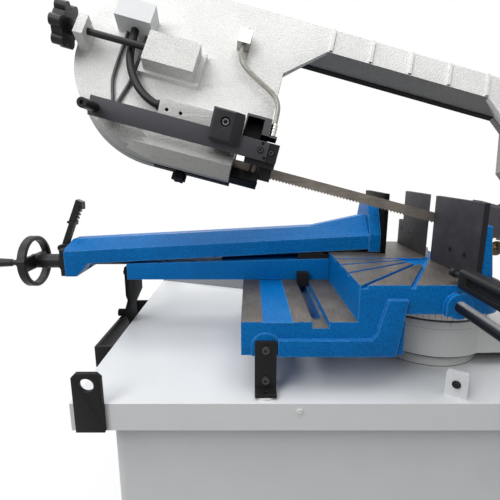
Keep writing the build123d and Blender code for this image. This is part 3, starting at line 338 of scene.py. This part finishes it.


# Kinds of material; their tones are given as red, green and blue

# tone of the painted shade low on the bow's housing
low_shade_grey = (104, 103, 100)
paint_spread = (-0.06, 0.08)                          # of the roughness, over the tone of the grain
metal_spread = (-0.1, 0.1)                            # of the roughness, over the tool marks
satin = (0.36, 0.48)                                  # roughness of the blue and of two-part paint


def new_material(name):
    """Material with a bare Principled shader; returns it, its tree and the shader."""
    material = bpy.data.materials.new(name)
    material.use_nodes = True
    return material, material.node_tree, material.node_tree.nodes["Principled BSDF"]


def place_group(tree, group, **values):
    """A shader group in a material; spaces in the names of its inputs are written as underscores."""
    node = tree.nodes.new("ShaderNodeGroup")
    node.node_tree = group
    for label, value in values.items():
        node.inputs[label.replace("_", " ")].default_value = value
    return node


def add_bump(tree, shader, height, distance):
    """Bump of a height over a real distance into the shader's normal."""
    bump = tree.nodes.new("ShaderNodeBump")
    bump.inputs["Distance"].default_value = distance
    tree.links.new(height, bump.inputs["Height"])
    tree.links.new(bump.outputs["Normal"], shader.inputs["Normal"])


def add_tones(tree, body, shade):
    """Parts of other tones on a colour; shade gives pairs of a mask and a tone."""
    for part, tone in (shade(tree) if shade else ()):
        body = mix_colour(tree, part, body, colour(*tone))
    return body


def painted(name, light, dark, edge_tone, roughness=0.45, lumps=500.0, depth=0.0002, wear=0.3, specks=0.2,
            shine=0.3, low_shaded=False, shade=None):
    """Paint over a cast or rolled skin: specked tone, lumps and lighter edges, for wear and painted
    highlight.
    """
    material, tree, shader = new_material(name)
    grain = place_group(tree, cast_grain, Scale=lumps, Speck=specks)
    edge = place_group(tree, edge_wear_and_highlight)
    body = mix_colour(tree, grain.outputs["Tone"], colour(*dark), colour(*light))
    share = math_node(tree, "MULTIPLY", edge.outputs["Edge"], wear, clamp=True)
    body = mix_colour(tree, share, body, colour(*edge_tone))
    # painted shade, darker towards the bottom of the bow's housing
    if low_shaded:
        darkening = place_group(tree, painted_low_shade).outputs["Soil"]
        body = mix_colour(tree, darkening, body, colour(*low_shade_grey))
    tree.links.new(add_tones(tree, body, shade), shader.inputs["Base Color"])
    gloss = mix_value(tree, grain.outputs["Tone"], *(roughness + off for off in paint_spread))
    tree.links.new(gloss, shader.inputs["Roughness"])
    shader.inputs["Specular IOR Level"].default_value = shine
    add_bump(tree, shader, grain.outputs["Height"], depth)
    return material


def machined(name, light, dark, roughness=0.42, metallic=1.0, marks=(6.0, 400.0, 400.0), shine=0.5,
             shade=None):
    """Bare or blackened metal with tool marks drawn along one axis."""
    edge_radius, edge_share, mark_depth = 0.0012, 0.5, 0.00008
    material, tree, shader = new_material(name)
    lines = place_group(tree, tool_marks, Along_x=marks[0], Along_y=marks[1], Along_z=marks[2])
    edge = place_group(tree, edge_wear_and_highlight, Radius=edge_radius)
    body = mix_colour(tree, lines.outputs["Tone"], colour(*dark), colour(*light))
    share = math_node(tree, "MULTIPLY", edge.outputs["Edge"], edge_share, clamp=True)
    body = mix_colour(tree, share, body, colour(*light))
    tree.links.new(add_tones(tree, body, shade), shader.inputs["Base Color"])
    gloss = mix_value(tree, lines.outputs["Height"], *(roughness + off for off in metal_spread))
    tree.links.new(gloss, shader.inputs["Roughness"])
    shader.inputs["Metallic"].default_value = metallic
    shader.inputs["Specular IOR Level"].default_value = shine
    add_bump(tree, shader, lines.outputs["Height"], mark_depth)
    return material


def blue_casting(name, levels):
    """Blue paint on a casting, bare and milled where a face lies at one of the machined heights."""
    edge_share, bare_roughness, bare_metallic = 0.65, 0.45, 0.7
    material, tree, shader = new_material(name)
    grain = place_group(tree, cast_grain, Scale=210.0, Patch=7.0, Speck=0.5)
    edge = place_group(tree, edge_wear_and_highlight, Radius=0.0035)
    lines = place_group(tree, tool_marks, Along_x=520.0, Along_y=22.0, Along_z=300.0)
    paint = mix_colour(tree, grain.outputs["Tone"], colour(0, 87, 149), colour(0, 113, 188))
    # pale blue on the rounded edges: painted highlight, partly wear
    share = math_node(tree, "MULTIPLY", edge.outputs["Edge"], edge_share, clamp=True)
    paint = mix_colour(tree, share, paint, colour(116, 174, 222))
    metal = mix_colour(tree, lines.outputs["Tone"], colour(76, 72, 69), colour(118, 113, 107))
    gloss = mix_value(tree, grain.outputs["Tone"], *satin)
    bare = 0.0
    for level in levels:
        mask = place_group(tree, level_mask, Level=level).outputs["Mask"]
        bare = math_node(tree, "MAXIMUM", bare, mask)
    tree.links.new(mix_colour(tree, bare, paint, metal), shader.inputs["Base Color"])
    tree.links.new(mix_value(tree, bare, gloss, bare_roughness), shader.inputs["Roughness"])
    tree.links.new(math_node(tree, "MULTIPLY", bare, bare_metallic), shader.inputs["Metallic"])
    shader.inputs["Specular IOR Level"].default_value = 0.12
    add_bump(tree, shader, grain.outputs["Height"], 0.002)
    return material


def two_part(name, mask, inside, outside, shine=0.3):
    """Paint in two colours, parted by a mask, with the tone of the grain."""
    grain_share = 0.35
    material, tree, shader = new_material(name)
    grain = place_group(tree, cast_grain, Scale=400.0, Speck=0.2)
    body = mix_colour(tree, mask(tree), colour(*outside), colour(*inside))
    shade = mix_colour(tree, grain.outputs["Tone"], colour(0, 0, 0), body)
    share = math_node(tree, "MULTIPLY", grain.outputs["Tone"], grain_share)
    tree.links.new(mix_colour(tree, share, body, shade), shader.inputs["Base Color"])
    tree.links.new(mix_value(tree, grain.outputs["Tone"], *satin), shader.inputs["Roughness"])
    shader.inputs["Specular IOR Level"].default_value = shine
    add_bump(tree, shader, grain.outputs["Height"], 0.0002)
    return material


def hose_plastic(name):
    """Clear hose gone slightly milky."""
    material, tree, shader = new_material(name)
    grain = place_group(tree, cast_grain, Scale=90.0, Patch=30.0)
    tint = mix_colour(tree, grain.outputs["Tone"], colour(150, 148, 138), colour(184, 182, 172))
    tree.links.new(tint, shader.inputs["Base Color"])
    shader.inputs["Roughness"].default_value = 0.16
    shader.inputs["Transmission Weight"].default_value = 0.55
    shader.inputs["IOR"].default_value = 1.42
    return material


# Parts of other tones, as pairs of a mask and a tone

def facing_front(tree):
    """1 on the faces that look to the front, within 60 degrees."""
    return math_node(tree, "LESS_THAN", split_facing(tree)["Y"], -0.5)


def back_wall_shade(tree):
    """The upright back wall of the tray, painted darker than its bed as shade."""
    behind = math_node(tree, "GREATER_THAN", split_place(tree)["Y"], wall_front)
    return [(math_node(tree, "MULTIPLY", facing_front(tree), behind), (150, 153, 157))]


def jaw_end(tree):
    """Front end of the near jaw, in the shade."""
    return [(facing_front(tree), (36, 36, 39))]


def seat_foot_shade(tree):
    """Painted shade: a dark line where the seat stands on the tray."""
    line_high, line_share = 0.0022, 0.8
    low = max(float(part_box("turntable_seat")[0][2]), tray_top)
    foot_shade = math_node(tree, "LESS_THAN", split_place(tree)["Z"], low + line_high)
    return [(math_node(tree, "MULTIPLY", foot_shade, line_share), (52, 52, 53))]


def seat_joint_shade(tree):
    """Dark joint under the swivel arm, with painted shade beneath it, and a faint line at the foot of
    its lip.
    """
    joint_high, line_half, line_share = 0.003, 0.0009, 0.5
    low = float(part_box("swivel_arm")[0][2])
    height = split_place(tree)["Z"]
    joint_shade = math_node(tree, "LESS_THAN", height, low + joint_high)
    off = math_node(tree, "ABSOLUTE", math_node(tree, "SUBTRACT", height, lip_foot))
    line = math_node(tree, "MULTIPLY", math_node(tree, "LESS_THAN", off, line_half), line_share)
    return [(math_node(tree, "MAXIMUM", joint_shade, line), (26, 26, 27))]


def round_mark(tree, group, centre, inner, outer, tone):
    """A mark of one tone between two radii about a centre."""
    node = place_group(tree, group, Centre_first=centre[0], Centre_second=centre[1],
                       Inner=inner, Outer=outer)
    return node.outputs["Mask"], tone


def jaw_screws(tree):
    """Screw holes of the far jaw, behind the blade, painted as black discs: the shade inside a hole.
    """
    return [round_mark(tree, jaw_round, hole, 0.0, 0.007, (10, 10, 11)) for hole in jaw_holes]


def screw_marks(tree):
    """Clamp screw: painted shade in the recess and the socket, a grey ring for the head."""
    return [round_mark(tree, bow_round, clamp_screw, 0.0, 0.0108, (12, 12, 13)),
            round_mark(tree, bow_round, clamp_screw, 0.0042, 0.0072, (136, 136, 138))]


def head_screw_marks(tree):
    """Screws of the guide head: a grey ring between the black rim and the black socket."""
    return [round_mark(tree, bow_round, screw, 0.0024, 0.005, (84, 84, 86)) for screw in head_screws]


def pocket_shade(tree):
    """Everything of the hose bracket behind its front flange, black in the shade."""
    depth = dot_product(tree, object_place(tree), bow_front.tolist())
    return [(math_node(tree, "LESS_THAN", depth, bracket_front), (6, 6, 7))]


def bow_marks(tree):
    """Painted shade under the beam right of the throat's left edge, and on the pad's holes."""
    under_facing, under_shade_share, hole_radius = -0.85, 0.85, 0.0043
    facing_up = dot_product(tree, surface_normal(tree), bow_up.tolist())
    under = math_node(tree, "LESS_THAN", facing_up, under_facing)
    right = math_node(tree, "GREATER_THAN", along_blade(tree), throat_left)
    oil = math_node(tree, "MULTIPLY", math_node(tree, "MULTIPLY", under, right), under_shade_share)
    holes = [round_mark(tree, bow_round, hole, 0.0, hole_radius, (14, 14, 15)) for hole in pad_holes]
    return [(oil, (112, 110, 106))] + holes


# Masks of the two-part paints

def zinc_below(tree):
    """1 below the top of the tray, a trace on the screws of the table's support bracket."""
    trace, head_high, tray_gap = 0.06, 0.02, 0.002
    place = split_place(tree)
    bracket_back = float(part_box("support_bracket")[1][1]) + head_high
    below = math_node(tree, "LESS_THAN", place["Z"], tray_top - tray_gap)
    bracket = math_node(tree, "LESS_THAN", place["Y"], bracket_back)
    return math_node(tree, "MAXIMUM", below, math_node(tree, "MULTIPLY", bracket, trace))


def top_highlight(tree):
    """Goes to 1 where the surface faces up: a painted highlight along the top."""
    rise_start, rise_gain = 0.68, 4.0
    rise = math_node(tree, "SUBTRACT", split_facing(tree, "Normal")["Z"], rise_start)
    return math_node(tree, "MULTIPLY", rise, rise_gain, clamp=True)


def ring_scale(tree):
    """1 on the foot of the scale ring, a painted shadow line under it, and on its lines: long every 5
    degrees, short every 1.
    """
    foot_shade_share, long_every, long_width, short_width = 0.08, 5, 0.06, 0.14
    place = split_place(tree)
    low, high = (float(corner[2]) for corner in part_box("scale_ring"))
    foot_shade = math_node(tree, "LESS_THAN", place["Z"], low + foot_shade_share * (high - low))
    aside = math_node(tree, "SUBTRACT", place["Y"], float(machine_zero[1]))
    along = math_node(tree, "SUBTRACT", place["X"], float(machine_zero[0]))
    turn = math_node(tree, "MULTIPLY", math_node(tree, "ARCTAN2", aside, along), 180 / pi)
    steps = math_node(tree, "FRACT", math_node(tree, "MULTIPLY", turn, 1 / long_every))
    long_line = math_node(tree, "LESS_THAN", steps, long_width)
    short_line = math_node(tree, "LESS_THAN", math_node(tree, "FRACT", turn), short_width)
    upper = math_node(tree, "GREATER_THAN", place["Z"], (low + high) / 2)
    lines = math_node(tree, "MAXIMUM", long_line, math_node(tree, "MULTIPLY", short_line, upper))
    return math_node(tree, "MAXIMUM", foot_shade, lines)


def pale_trim(tree):
    """1 left of the housing's nose and right of the throat's upper corner, along the blade."""
    along = along_blade(tree)
    left = math_node(tree, "LESS_THAN", along, nose_start)
    right = math_node(tree, "GREATER_THAN", along, throat_right)
    return math_node(tree, "MAXIMUM", left, right)


# Materials: light, dark and edge tone of paint, the edge tone for wear and painted highlight; light
# and dark tone of metal

blue_table = blue_casting("blue table", (table_top, deck_top, slot_floor))
blue_plain = blue_casting("blue paint", ())
grey_casting = painted("grey casting", (226, 226, 223), (184, 184, 182), (232, 232, 230),
                       lumps=280.0, depth=0.0024, wear=0.2, specks=0.45)
# with painted shade low on the housing and under the beam
bow_paint = painted("bow casting", (233, 233, 231), (204, 204, 202), (238, 238, 236),
                    lumps=280.0, depth=0.0024, wear=0.2, specks=0.4, low_shaded=True, shade=bow_marks)
cover_paint = painted("bow cover", (229, 229, 227), (212, 212, 210), (236, 236, 234),
                      lumps=260.0, depth=0.0008, wear=0.2, specks=0.3)
# darker than the grey casting: painted shade under the table
shaded_seat_grey = painted("shaded seat grey", (196, 197, 196), (180, 181, 180), (212, 212, 211),
                    lumps=260.0, depth=0.001, shade=seat_foot_shade)
shaded_arm_grey = painted("shaded swivel grey", (204, 205, 204), (188, 189, 188), (218, 218, 217),
                   lumps=260.0, depth=0.001, shade=seat_joint_shade)
stop_grey = painted("stop grey", (216, 217, 220), (202, 203, 207), (240, 240, 241),
                    roughness=0.4, wear=0.5, shine=0.5)
sheet_tones = (217, 219, 220), (207, 209, 211), (236, 238, 240)
sheet_skin = {"roughness": 0.5, "lumps": 700.0, "depth": 0.00012, "wear": 0.5, "specks": 0.1,
              "shine": 0.2}
white_sheet = painted("white sheet", *sheet_tones, **sheet_skin)
tray_sheet = painted("tray sheet", *sheet_tones, **sheet_skin, shade=back_wall_shade)

black_steel = painted("black steel", (32, 32, 33), (20, 20, 21), (84, 84, 86),
                      lumps=600.0, depth=0.0001, wear=0.35, shine=0.14)
blue_black = painted("blued steel", (80, 79, 84), (62, 61, 66), (108, 107, 112),
                     roughness=0.5, shine=0.18)
head_black = painted("head steel", (40, 40, 41), (22, 22, 23), (92, 92, 92),
                     roughness=0.4, wear=0.6, shine=0.16)
clamp_black = painted("clamp steel", (62, 62, 65), (46, 46, 49), (106, 106, 110),
                      depth=0.0003, wear=0.7, shine=0.13, shade=screw_marks)
bracket_black = painted("bracket steel", (88, 87, 90), (66, 65, 68), (124, 123, 126),
                        roughness=0.5, wear=0.5, shine=0.1, shade=pocket_shade)
deep_black = painted("deep black", (18, 18, 19), (10, 10, 11), (44, 44, 45),
                     roughness=0.6, wear=0.2, shine=0.06)
socket_steel = painted("socket screws", (18, 18, 19), (10, 10, 11), (50, 50, 51),
                       depth=0.0001, shine=0.1, shade=head_screw_marks)
black_plastic = painted("black plastic", (34, 34, 35), (22, 22, 23), (70, 70, 72),
                        roughness=0.38, lumps=900.0, depth=0.00008, wear=0.2, shine=0.22)
black_rubber = painted("black rubber", (22, 22, 23), (13, 13, 14), (48, 48, 48),
                       roughness=0.4, depth=0.00015, wear=0.1, shine=0.25)
grey_lead = painted("grey cable", (64, 64, 68), (46, 46, 50), (104, 104, 106),
                    depth=0.0001, wear=0.1, shine=0.5)

jaw_skin = {"roughness": 0.62, "metallic": 0.1, "marks": (220.0, 220.0, 60.0), "shine": 0.09}
jaw_steel = machined("jaw steel", (78, 77, 81), (56, 55, 58), **jaw_skin, shade=jaw_screws)
near_steel = machined("near jaw steel", (72, 71, 76), (50, 49, 53), **jaw_skin, shade=jaw_end)
bright_steel = machined("bright steel", (205, 204, 200), (150, 149, 146), roughness=0.28)
blade_steel = machined("blade steel", (146, 138, 128), (96, 90, 83), metallic=0.4,
                       marks=(14.0, 500.0, 500.0), shine=0.25)
oiled_steel = machined("oiled steel", (80, 78, 76), (42, 41, 40), metallic=0.5, shine=0.15)
roller_steel = machined("roller steel", (112, 107, 100), (62, 59, 54), roughness=0.45, metallic=0.7,
                        shine=0.2)
wheel_iron = machined("wheel iron", (150, 148, 145), (104, 102, 100))
brass = machined("brass wire", (138, 116, 72), (66, 53, 30), marks=(400.0, 60.0, 400.0))

clear_hose = hose_plastic("clear hose")
screw_mix = two_part("screws", zinc_below, (224, 223, 220), (14, 14, 15))
trim_mix = two_part("trim", pale_trim, (166, 166, 163), (9, 9, 10), shine=0.08)
# the pale top of the black rod is a painted highlight
dark_rod = two_part("dark rod", top_highlight, (168, 168, 170), (22, 22, 23))
ring_mix = two_part("scale ring", ring_scale, (22, 22, 23), (244, 237, 228))

finishes = (
    (blue_table, "table_casting"),
    (blue_plain, "vise_bar vise_arm jaw_brackets"),
    (bow_paint, "bow_casting"),
    (cover_paint, "bow_cover"),
    (grey_casting, "gearbox tension_slide"),
    (shaded_arm_grey, "swivel_arm"),
    (shaded_seat_grey, "turntable_seat"),
    (stop_grey, "swivel_stop_block"),
    (white_sheet, "base_cabinet terminal_box"),
    (tray_sheet, "base_tray"),
    (blue_black, "guide_arm rear_guide"),
    (head_black, "guide_head clamp_lever"),
    (clamp_black, "clamp_block"),
    (bracket_black, "hose_bracket"),
    (deep_black, "moving_jaw latch_knob lower_guard vise_hanger hanger_bolts"),
    (socket_steel, "guide_screws"),
    (black_plastic, "hand_wheel crank_grip tension_wheel guide_handle cable_ends"),
    (black_rubber, "power_hose"),
    (grey_lead, "switch_cables"),
    (jaw_steel, "far_fixed_jaw"),
    (near_steel, "near_fixed_jaw"),
    (bright_steel, "lead_screw pivot_shaft coolant_fittings"),
    (blade_steel, "blade"),
    (roller_steel, "guide_roller_near guide_roller_far"),
    (wheel_iron, "idler_wheel drive_wheel"),
    (brass, "blade_brush spindle_nut"),
    (clear_hose, "coolant_hose"),
    (screw_mix, "base_screws"),
    (trim_mix, "cover_trim"),
    (dark_rod, "stop_rod"),
    (ring_mix, "scale_ring"),
)
finish_of = {name: finish for finish, names in finishes for name in names.split()}
for name, node in nodes.items():
    node.data.materials.clear()
    node.data.materials.append(finish_of.get(name, black_steel))


# Edges of the castings, sheets and machined blocks

def soften(node, width, segments, crease):
    """Merges the facets, joins flat ones and rounds the sharp edges of a node for the render."""
    node.data.polygons.foreach_set("use_smooth", np.ones(len(node.data.polygons), dtype=bool))
    weld = node.modifiers.new("merge", "WELD")
    weld.merge_threshold = 0.00001
    if width:
        flat = node.modifiers.new("flat faces", "DECIMATE")
        flat.decimate_type = "DISSOLVE"
        flat.angle_limit = radians(0.5)
        bevel = node.modifiers.new("round edges", "BEVEL")
        bevel.width = width
        bevel.segments = segments
        bevel.limit_method = "ANGLE"
        bevel.angle_limit = radians(30)
    split = node.modifiers.new("sharp edges", "EDGE_SPLIT")
    split.split_angle = radians(crease)


edge_widths = {
    "table_casting": 0.0022, "vise_arm": 0.0022, "bow_casting": 0.002, "clamp_block": 0.002,
    "swivel_arm": 0.0018, "vise_bar": 0.0012, "jaw_brackets": 0.0012, "stop_arm": 0.0012,
    "base_cabinet": 0.0008, "base_tray": 0.0008, "near_fixed_jaw": 0.0008, "far_fixed_jaw": 0.0008,
    "moving_jaw": 0.0008, "guide_arm": 0.0008, "support_bracket": 0.0008, "lifting_lugs": 0.0008,
    "vise_hanger": 0.0008, "vise_rail": 0.0006,
}
edge_steps = {"vise_arm": 8, "table_casting": 4, "vise_bar": 4, "bow_casting": 4, "swivel_arm": 4,
              "clamp_block": 4}
creases = {"base_tray": 8, "base_cabinet": 8, "vise_arm": 12, "table_casting": 20, "vise_bar": 20,
           "bow_casting": 18, "bow_cover": 18, "swivel_arm": 20, "clamp_block": 20}
for name, node in nodes.items():
    soften(node, edge_widths.get(name, 0), edge_steps.get(name, 2), creases.get(name, 32))


# Turned and welded details

def sheet_of(name, grid, material, body, close_along=False):
    """Surface of a grid of points, closed around its second side and, if wanted, along its first."""
    rows, around = grid.shape[:2]
    first = np.arange(rows if close_along else rows - 1)[:, None]
    second = np.arange(around)[None, :]
    below = (first + 1) % rows
    beside = (second + 1) % around
    quads = np.stack([first * around + second, first * around + beside, below * around + beside,
                      below * around + second], axis=-1).reshape(-1, 4)
    mesh = bpy.data.meshes.new(name)
    mesh.from_pydata(grid.reshape(-1, 3).tolist(), [], quads.tolist())
    mesh.polygons.foreach_set("use_smooth", np.ones(len(quads), dtype=bool))
    mesh.materials.append(material)
    piece = bpy.data.objects.new(name, mesh)
    bpy.context.scene.collection.objects.link(piece)
    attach(piece, body)
    return piece


def full_turn(count):
    """Angles of one turn, in even steps."""
    return np.linspace(0, 2 * pi, count, endpoint=False)


def around_axis(start, way, side, along, radii):
    """Grid round an axis: a ring at each place along it, with a radius for each angle."""
    way = way / np.linalg.norm(way)
    side = side - way * (side @ way)
    side = side / np.linalg.norm(side)
    third = np.cross(way, side)
    angle = full_turn(radii.shape[1])
    ring = np.cos(angle)[:, None] * side + np.sin(angle)[:, None] * third
    return start + along[:, None, None] * way + radii[:, :, None] * ring[None, :, :]


def hose_ferrule():
    """Crimped sleeve on the coolant hose: rounded ribs, closed to the hose at both ends."""
    sleeve, mouth, rib_high, rib_round, ribs = 0.0072, 0.0058, 0.001, 0.6, 4
    rows, sides = 97, 32
    foot_shade, top = bow_points([(-495, 66), (-495, 100)], coolant_depth)
    along = np.linspace(0, np.linalg.norm(top - foot_shade), rows)
    wave = np.maximum(0, np.sin(2 * pi * ribs * along / along[-1] - pi / 2))
    radius = sleeve + rib_high * wave ** rib_round
    radius[[0, -1]] = mouth
    grid = around_axis(foot_shade, top - foot_shade, axis_x, along, np.repeat(radius[:, None], sides, axis=1))
    sheet_of("hose_ferrule", grid, bright_steel, "bow")


def vise_thread():
    """Lead screw: plain at its left end, then with a ridge of triangular section wound round it."""
    lead, thread_deep, thread_sharp = 0.006, 0.0016, 1.2
    thread_start = machine_zero[0] - 0.966
    rows, sides = 1400, 24
    low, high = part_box("lead_screw")
    start = np.array([low[0], (low[1] + high[1]) / 2, (low[2] + high[2]) / 2])
    full = (high[2] - low[2]) / 2
    along = np.linspace(0, high[0] - low[0], rows)
    turn = (along[:, None] / lead - full_turn(sides)[None, :] / (2 * pi)) % 1.0
    cut = thread_deep * np.abs(2 * turn - 1) ** thread_sharp
    radii = full - cut * (along > thread_start - start[0])[:, None]
    radii[[0, -1]] = 0.0
    grid = around_axis(start, axis_x, axis_y, along, radii)
    screw = sheet_of("vise_thread", grid, oiled_steel, "hand_wheel")
    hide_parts("lead_screw")


def wire_brush():
    """Wire wheel: hub, side flange and a ring of wires whose radius ripples round the wheel."""
    wire_foot, ripple, trim, ripples, sides = 0.66, 0.03, 0.02, 44, 176
    low, high = (np.array(corner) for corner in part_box("blade_brush"))
    size = high - low
    centre = (low + high) / 2
    start = np.array([centre[0], low[1], centre[2]])
    full = min(size[0], size[2]) / 2
    half_share = np.array([0, 0, 0.08, 0.1, 0.2, 0.22, 0.3, 0.45, 0.5])
    half_reach = np.array([0, 0.3, 0.32, 0.62, 0.64, 0.68, 0.9, 0.97, 0.98])
    share = np.concatenate([half_share, 1 - half_share[-2::-1]])
    reach = np.concatenate([half_reach, half_reach[-2::-1]])
    wired = (reach > wire_foot)[:, None]
    wires = wired * (ripple * np.sin(ripples * full_turn(sides))[None, :] - trim)
    grid = around_axis(start, axis_y, axis_x, share * size[1],
                       full * np.maximum(0, reach[:, None] + wires))
    brush = sheet_of("wire_brush", grid, brass, "blade_brush")
    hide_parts("blade_brush")


def guard_apron():
    """Front sheet of the lower guard: a slab of squared-off oval section, ends closed; in mm."""
    low, high, middle, thick, squared, sides = -40.55, -15.0, 17.0, 1.0, 0.25, 64
    angle = full_turn(sides)
    up = np.sign(np.cos(angle)) * np.abs(np.cos(angle)) ** squared
    up = (low + high) / 2 + (high - low) / 2 * up
    out = thick * np.sign(np.sin(angle)) * np.abs(np.sin(angle)) ** squared
    along = np.array([-571.0, -571.0, -503.0, -503.0])
    shut = np.array([0.0, 1.0, 1.0, 0.0])
    route = np.stack(np.broadcast_arrays(along[:, None], up[None, :]), axis=-1).reshape(-1, 2)
    depth = (middle + shut[:, None] * out[None, :]).ravel()
    grid = bow_points(route, depth).reshape(len(along), len(angle), 3)
    sheet_of("guard_apron", grid, head_black, "bow")


def weld_bead(name, centre, long, wide, turn):
    """Weld round a foot: a bead that swells and shrinks along the outline of a rectangle."""
    bead, swell, swell_every = 0.0028, 0.0005, 0.005
    rows, sides = 240, 14
    corner = np.array([[-1, -1], [1, -1], [1, 1], [-1, 1], [-1, -1]]) * [long, wide] / 2
    length = np.concatenate([[0], np.cumsum(np.linalg.norm(np.diff(corner, axis=0), axis=1))])
    step = np.linspace(0, length[-1], rows, endpoint=False)
    path = np.column_stack([np.interp(step, length, corner[:, k]) for k in (0, 1)])
    path = path @ np.array([[cos(turn), sin(turn)], [-sin(turn), cos(turn)]])
    outward = path / np.linalg.norm(path, axis=1)[:, None]
    angle = full_turn(sides)
    radius = (bead + swell * np.sin(2 * pi * step / swell_every))[:, None]
    flat = path[:, None, :] + (radius * np.cos(angle))[:, :, None] * outward[:, None, :]
    height = radius * np.sin(angle)
    grid = np.concatenate([flat, height[:, :, None]], axis=2) + centre
    sheet_of(name, grid, white_sheet, "base", close_along=True)


hose_ferrule()
guard_apron()
vise_thread()
wire_brush()
block_foot = machine_zero + np.array([-0.036, -0.258, -0.240])
weld_bead("stop_block_weld", block_foot, 0.042, 0.012, radians(-36))


# Cords of the bow, drawn as tubes through the same points as the solids

def tube(name, routes, depth, radius, material):
    """Round tube along smooth curves: the route's points are the control points of the curve."""
    curve = bpy.data.curves.new(name, "CURVE")
    curve.dimensions = "3D"
    curve.bevel_depth = radius
    curve.bevel_resolution = 6
    curve.resolution_u = 24
    curve.use_fill_caps = True
    for route in routes:
        points = bow_points(route, depth)
        spline = curve.splines.new("NURBS")
        spline.points.add(len(points) - 1)
        spline.points.foreach_set("co", np.column_stack([points, np.ones(len(points))]).ravel())
        spline.order_u = 3
        spline.use_endpoint_u = True
    piece = bpy.data.objects.new(name, curve)
    bpy.context.scene.collection.objects.link(piece)
    curve.materials.append(material)
    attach(piece, "bow")
    return piece


cable_depth = 47
power_depth = 62
power_route = [(-776, 69), (-798, 74), (-836, 102), (-864, 142), (-880, 190), (-884, 250)]
outer_route = [(-882, 45), (-884, 60), (-896, 92), (-905, 130), (-905, 250)]
inner_route = [(-872, 45), (-871, 62), (-864, 95), (-858, 130), (-858, 250)]
coolant_route = [(-495, 79), (-495, 115), (-497, 152), (-512, 178),
                 (-560, 206), (-606, 234), (-620, 262), (-620, 290)]
power_conduit = tube("power_conduit", [power_route], power_depth, 0.0095, black_rubber)
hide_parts("power_hose")
switch_leads = tube("switch_leads", [outer_route, inner_route], cable_depth, 0.004, grey_lead)
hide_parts("switch_cables")
coolant_tube = tube("coolant_tube", [coolant_route], coolant_depth, 0.006, clear_hose)
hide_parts("coolant_hose")


# Floor, light and camera

def sight_rays(tree):
    """1 for the rays that show the background: to the camera, in a reflection, through glass."""
    ray = tree.nodes.new("ShaderNodeLightPath")
    camera_ray, glossy_ray, clear_ray = (ray.outputs[f"Is {kind} Ray"]
                                         for kind in ("Camera", "Glossy", "Transmission"))
    direct = math_node(tree, "MAXIMUM", camera_ray, clear_ray)
    return math_node(tree, "MAXIMUM", direct, glossy_ray)


def stage_floor():
    """Pale floor: white where it is seen, with part of the part's shadow kept near it."""
    half, fade_start, fade_gain, least_glow = 40.0, 0.7, 0.45, 0.8
    unseen_tone, seen_tone = (0.3, 0.3, 0.3, 1.0), (0.9, 0.9, 0.9, 1.0)
    corners = np.array([[-1, -1, 0], [1, -1, 0], [1, 1, 0], [-1, 1, 0]]) * half
    mesh = bpy.data.meshes.new("floor")
    mesh.from_pydata(corners.tolist(), [], [(0, 1, 2, 3)])
    floor = bpy.data.objects.new("floor", mesh)
    bpy.context.scene.collection.objects.link(floor)
    material, tree, shader = new_material("floor")
    seen = sight_rays(tree)
    tree.links.new(mix_colour(tree, seen, unseen_tone, seen_tone), shader.inputs["Base Color"])
    shader.inputs["Roughness"].default_value = 0.9
    away = tree.nodes.new("ShaderNodeVectorMath")
    away.operation = "LENGTH"
    tree.links.new(object_place(tree), away.inputs[0])
    fade = math_node(tree, "SUBTRACT", away.outputs["Value"], fade_start)
    fade = math_node(tree, "MULTIPLY", fade, fade_gain, clamp=True)
    white = math_node(tree, "ADD", fade, least_glow, clamp=True)
    glow = tree.nodes.new("ShaderNodeEmission")
    blend = tree.nodes.new("ShaderNodeMixShader")
    tree.links.new(math_node(tree, "MULTIPLY", seen, white), blend.inputs[0])
    tree.links.new(shader.outputs[0], blend.inputs[1])
    tree.links.new(glow.outputs[0], blend.inputs[2])
    tree.links.new(blend.outputs[0], tree.nodes["Material Output"].inputs["Surface"])
    mesh.materials.append(material)


def studio_world():
    """White where it is seen, a plain grey fill light otherwise."""
    fill, white = 0.16, 1.0
    world = bpy.data.worlds.new("studio")
    bpy.context.scene.world = world
    world.use_nodes = True
    tree = world.node_tree
    back = tree.nodes["Background"]
    back.inputs["Color"].default_value = (1, 1, 1, 1)
    tree.links.new(mix_value(tree, sight_rays(tree), fill, white), back.inputs["Strength"])


def soft_lamp(name, place, target, size, power):
    """Square area lamp aimed at a point."""
    data = bpy.data.lights.new(name, "AREA")
    data.size = size
    data.energy = power
    lamp = bpy.data.objects.new(name, data)
    bpy.context.scene.collection.objects.link(lamp)
    lamp.location = place
    aim = bpy.data.objects.new(name + " aim", None)
    bpy.context.scene.collection.objects.link(aim)
    aim.location = target
    track = lamp.constraints.new("TRACK_TO")
    track.target = aim
    track.track_axis = "TRACK_NEGATIVE_Z"
    track.up_axis = "UP_Y"


stage_floor()
studio_world()
middle = (0.0, 0.0, 0.9)
soft_lamp("overhead", (-0.6, -0.1, 4.4), middle, size=4.6, power=194)
soft_lamp("left front", (-3.2, -4.16, 4.26), middle, size=2.9, power=174)
soft_lamp("right front", (2.2, -2.2, 2.6), middle, size=1.8, power=10)
soft_lamp("back", (-0.2, 3.0, 2.3), middle, size=3.0, power=28)

view = bpy.data.cameras.new("photo view")
view.sensor_width = 36
view.lens = 27.72
camera = bpy.data.objects.new("photo view", view)
bpy.context.scene.collection.objects.link(camera)
camera.location = (-0.231, -1.081, 1.116)
camera.rotation_euler = (radians(77.834), 0, 0)
bpy.context.scene.camera = camera
bpy.context.scene.view_settings.view_transform = "Standard"
